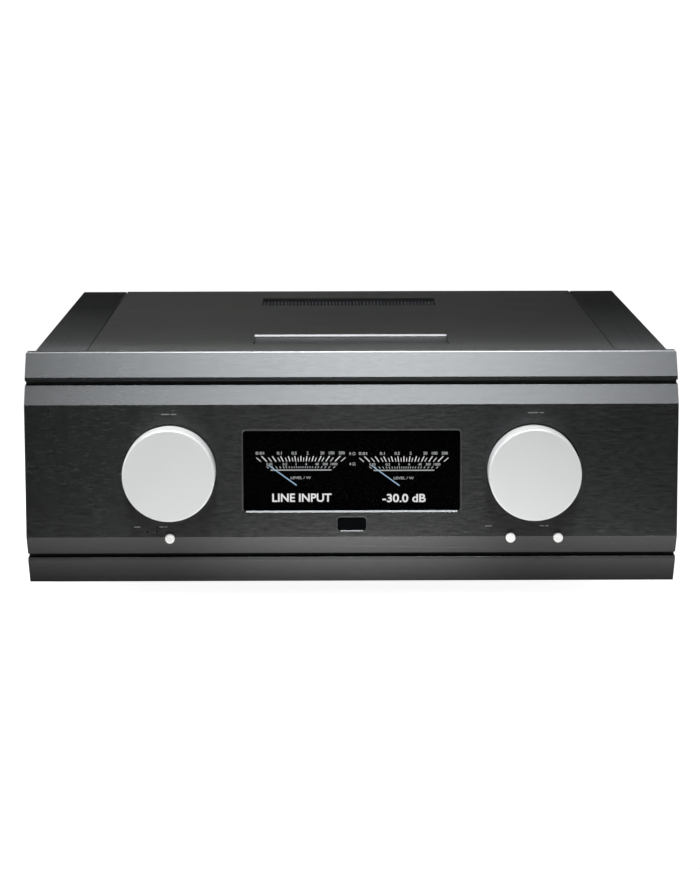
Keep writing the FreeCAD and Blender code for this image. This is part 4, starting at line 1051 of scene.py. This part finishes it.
def build_world():
    world = bpy.data.worlds.new("studio")
    SCENE.world = world
    shader = Shader(world)
    brightness = world_reflection(shader)
    white, cool = (1.0, 1.0, 1.0), (0.975, 0.985, 1.04)
    seen = shader.add("ShaderNodeBackground", {0: white, 1: BACKDROP})
    mirrored = shader.add("ShaderNodeBackground", {0: cool, 1: brightness})
    ambient = shader.add("ShaderNodeBackground", {0: white, 1: 0.11})
    to_shiny = shader.add("ShaderNodeLightPath", out="Is Glossy Ray")
    unseen = shader.mix_shader(to_shiny, ambient, mirrored)
    to_camera = to_shiny.node.outputs["Is Camera Ray"]
    shader.output("World", shader.mix_shader(to_camera, unseen, seen))
    world.cycles.sampling_method = "NONE"


build_world()


# ------------------------------------------------------------------ lights
def area(name, at, target, size, radiance, colour=(1, 1, 1)):
    """A rectangular light aimed at the target, hidden from camera and reflections."""
    light = bpy.data.lights.new(name, "AREA")
    light.shape = "RECTANGLE"
    light.size, light.size_y = size
    light.energy = radiance * math.pi * size[0] * size[1]
    light.color = colour
    light.spread = math.pi
    lamp = bpy.data.objects.new(name, light)
    SCENE.collection.objects.link(lamp)
    lamp.location = at
    lamp.rotation_euler = (Vector(target) - Vector(at)).to_track_quat("-Z", "Y").to_euler()
    lamp.visible_camera = False
    lamp.visible_glossy = False
    return lamp


def light_only(collection_name, lamps, nodes):
    """Limits the lamps to the given pieces."""
    receivers = bpy.data.collections.new(collection_name)
    for node in nodes:
        receivers.objects.link(NODES[node])
    for lamp in lamps:
        lamp.light_linking.receiver_collection = receivers


area("softbox_top", at=(-0.42, -0.60, 0.85), target=(0.0, -0.15, 0.12), size=(0.60, 0.45),
     radiance=5.4, colour=(0.985, 0.995, 1.0))
area("softbox_front", at=(0.3, -2.6, 1.3), target=(0.0, -0.2, 0.1), size=(1.4, 1.0), radiance=2.2)
SOFTBOX = dict(size=(1.6, 0.6), radiance=9.0)
area("softbox_left", at=(-2.0, 0.1, 0.34), target=(0.0, 0.0, 0.1), colour=(0.97, 0.985, 1.0),
     **SOFTBOX)
area("softbox_right", at=(2.0, 0.1, 0.34), target=(0.0, 0.0, 0.1), colour=(1.0, 0.99, 0.97),
     **SOFTBOX)
area("softbox_back", at=(0.0, 2.4, 0.36), target=(0.0, 0.2, 0.1), **SOFTBOX)
# low strip above the front edge, for the top only
strip = area("strip_top", at=(0.0, -0.216, 0.250), target=(0.0, -0.214, 0.187),
             size=(0.54, 0.02), radiance=14.0, colour=(0.93, 1.0, 1.07))
light_only("lit_by_strip", [strip], ("top_cover", "vent_grille", "heatsink_left", "heatsink_right"))
# light from above and low fill in front, for the knobs and buttons only
crown = area("crown_top", at=(-0.02, -0.200, 0.85), target=(0.0, -0.24, 0.12),
             size=(0.75, 0.10), radiance=30.0)
fill = area("fill_low", at=(0.020, -0.40, 0.012), target=(0.01, -0.255, 0.100),
            size=(0.46, 0.05), radiance=5.6)
light_only("lit_by_fill", [fill, crown], (
    "source_knob", "volume_knob", "standby_button", "lighting_button", "display_button",
))


# ------------------------------------------------------------------ camera and render
def build_camera():
    """A long lens in front of the amplifier, looking slightly down."""
    camera = bpy.data.cameras.new("camera")
    camera.sensor_width = 36.0
    camera.sensor_fit = "AUTO"
    camera.lens = 122.549137
    camera.clip_start, camera.clip_end = 0.05, 60.0
    camera.shift_x, camera.shift_y = -0.00057537399, 0.00046029919
    holder = bpy.data.objects.new("camera", camera)
    SCENE.collection.objects.link(holder)
    forward = Vector((0.0055236635, 0.9889978584, -0.1478266727))
    right = Vector((0.9999805321, -0.0058920349, -0.0020541216))
    up = Vector((0.0029025217, 0.1478124485, 0.9890111503))
    pose = Matrix((right, up, -forward)).transposed().to_4x4()
    pose.translation = Vector((-0.0129, -2.3926, 0.4502))
    holder.matrix_world = pose
    SCENE.camera = holder


build_camera()
SCENE.view_settings.view_transform = "Standard"
SCENE.view_settings.look = "None"
SCENE.view_settings.exposure = 0.0
SCENE.cycles.use_denoising = True
SCENE.cycles.max_bounces = 10
SCENE.cycles.transparent_max_bounces = 12
SCENE.cycles.sample_clamp_indirect = 1.8
SCENE.cycles.caustics_reflective = False
SCENE.cycles.caustics_refractive = False
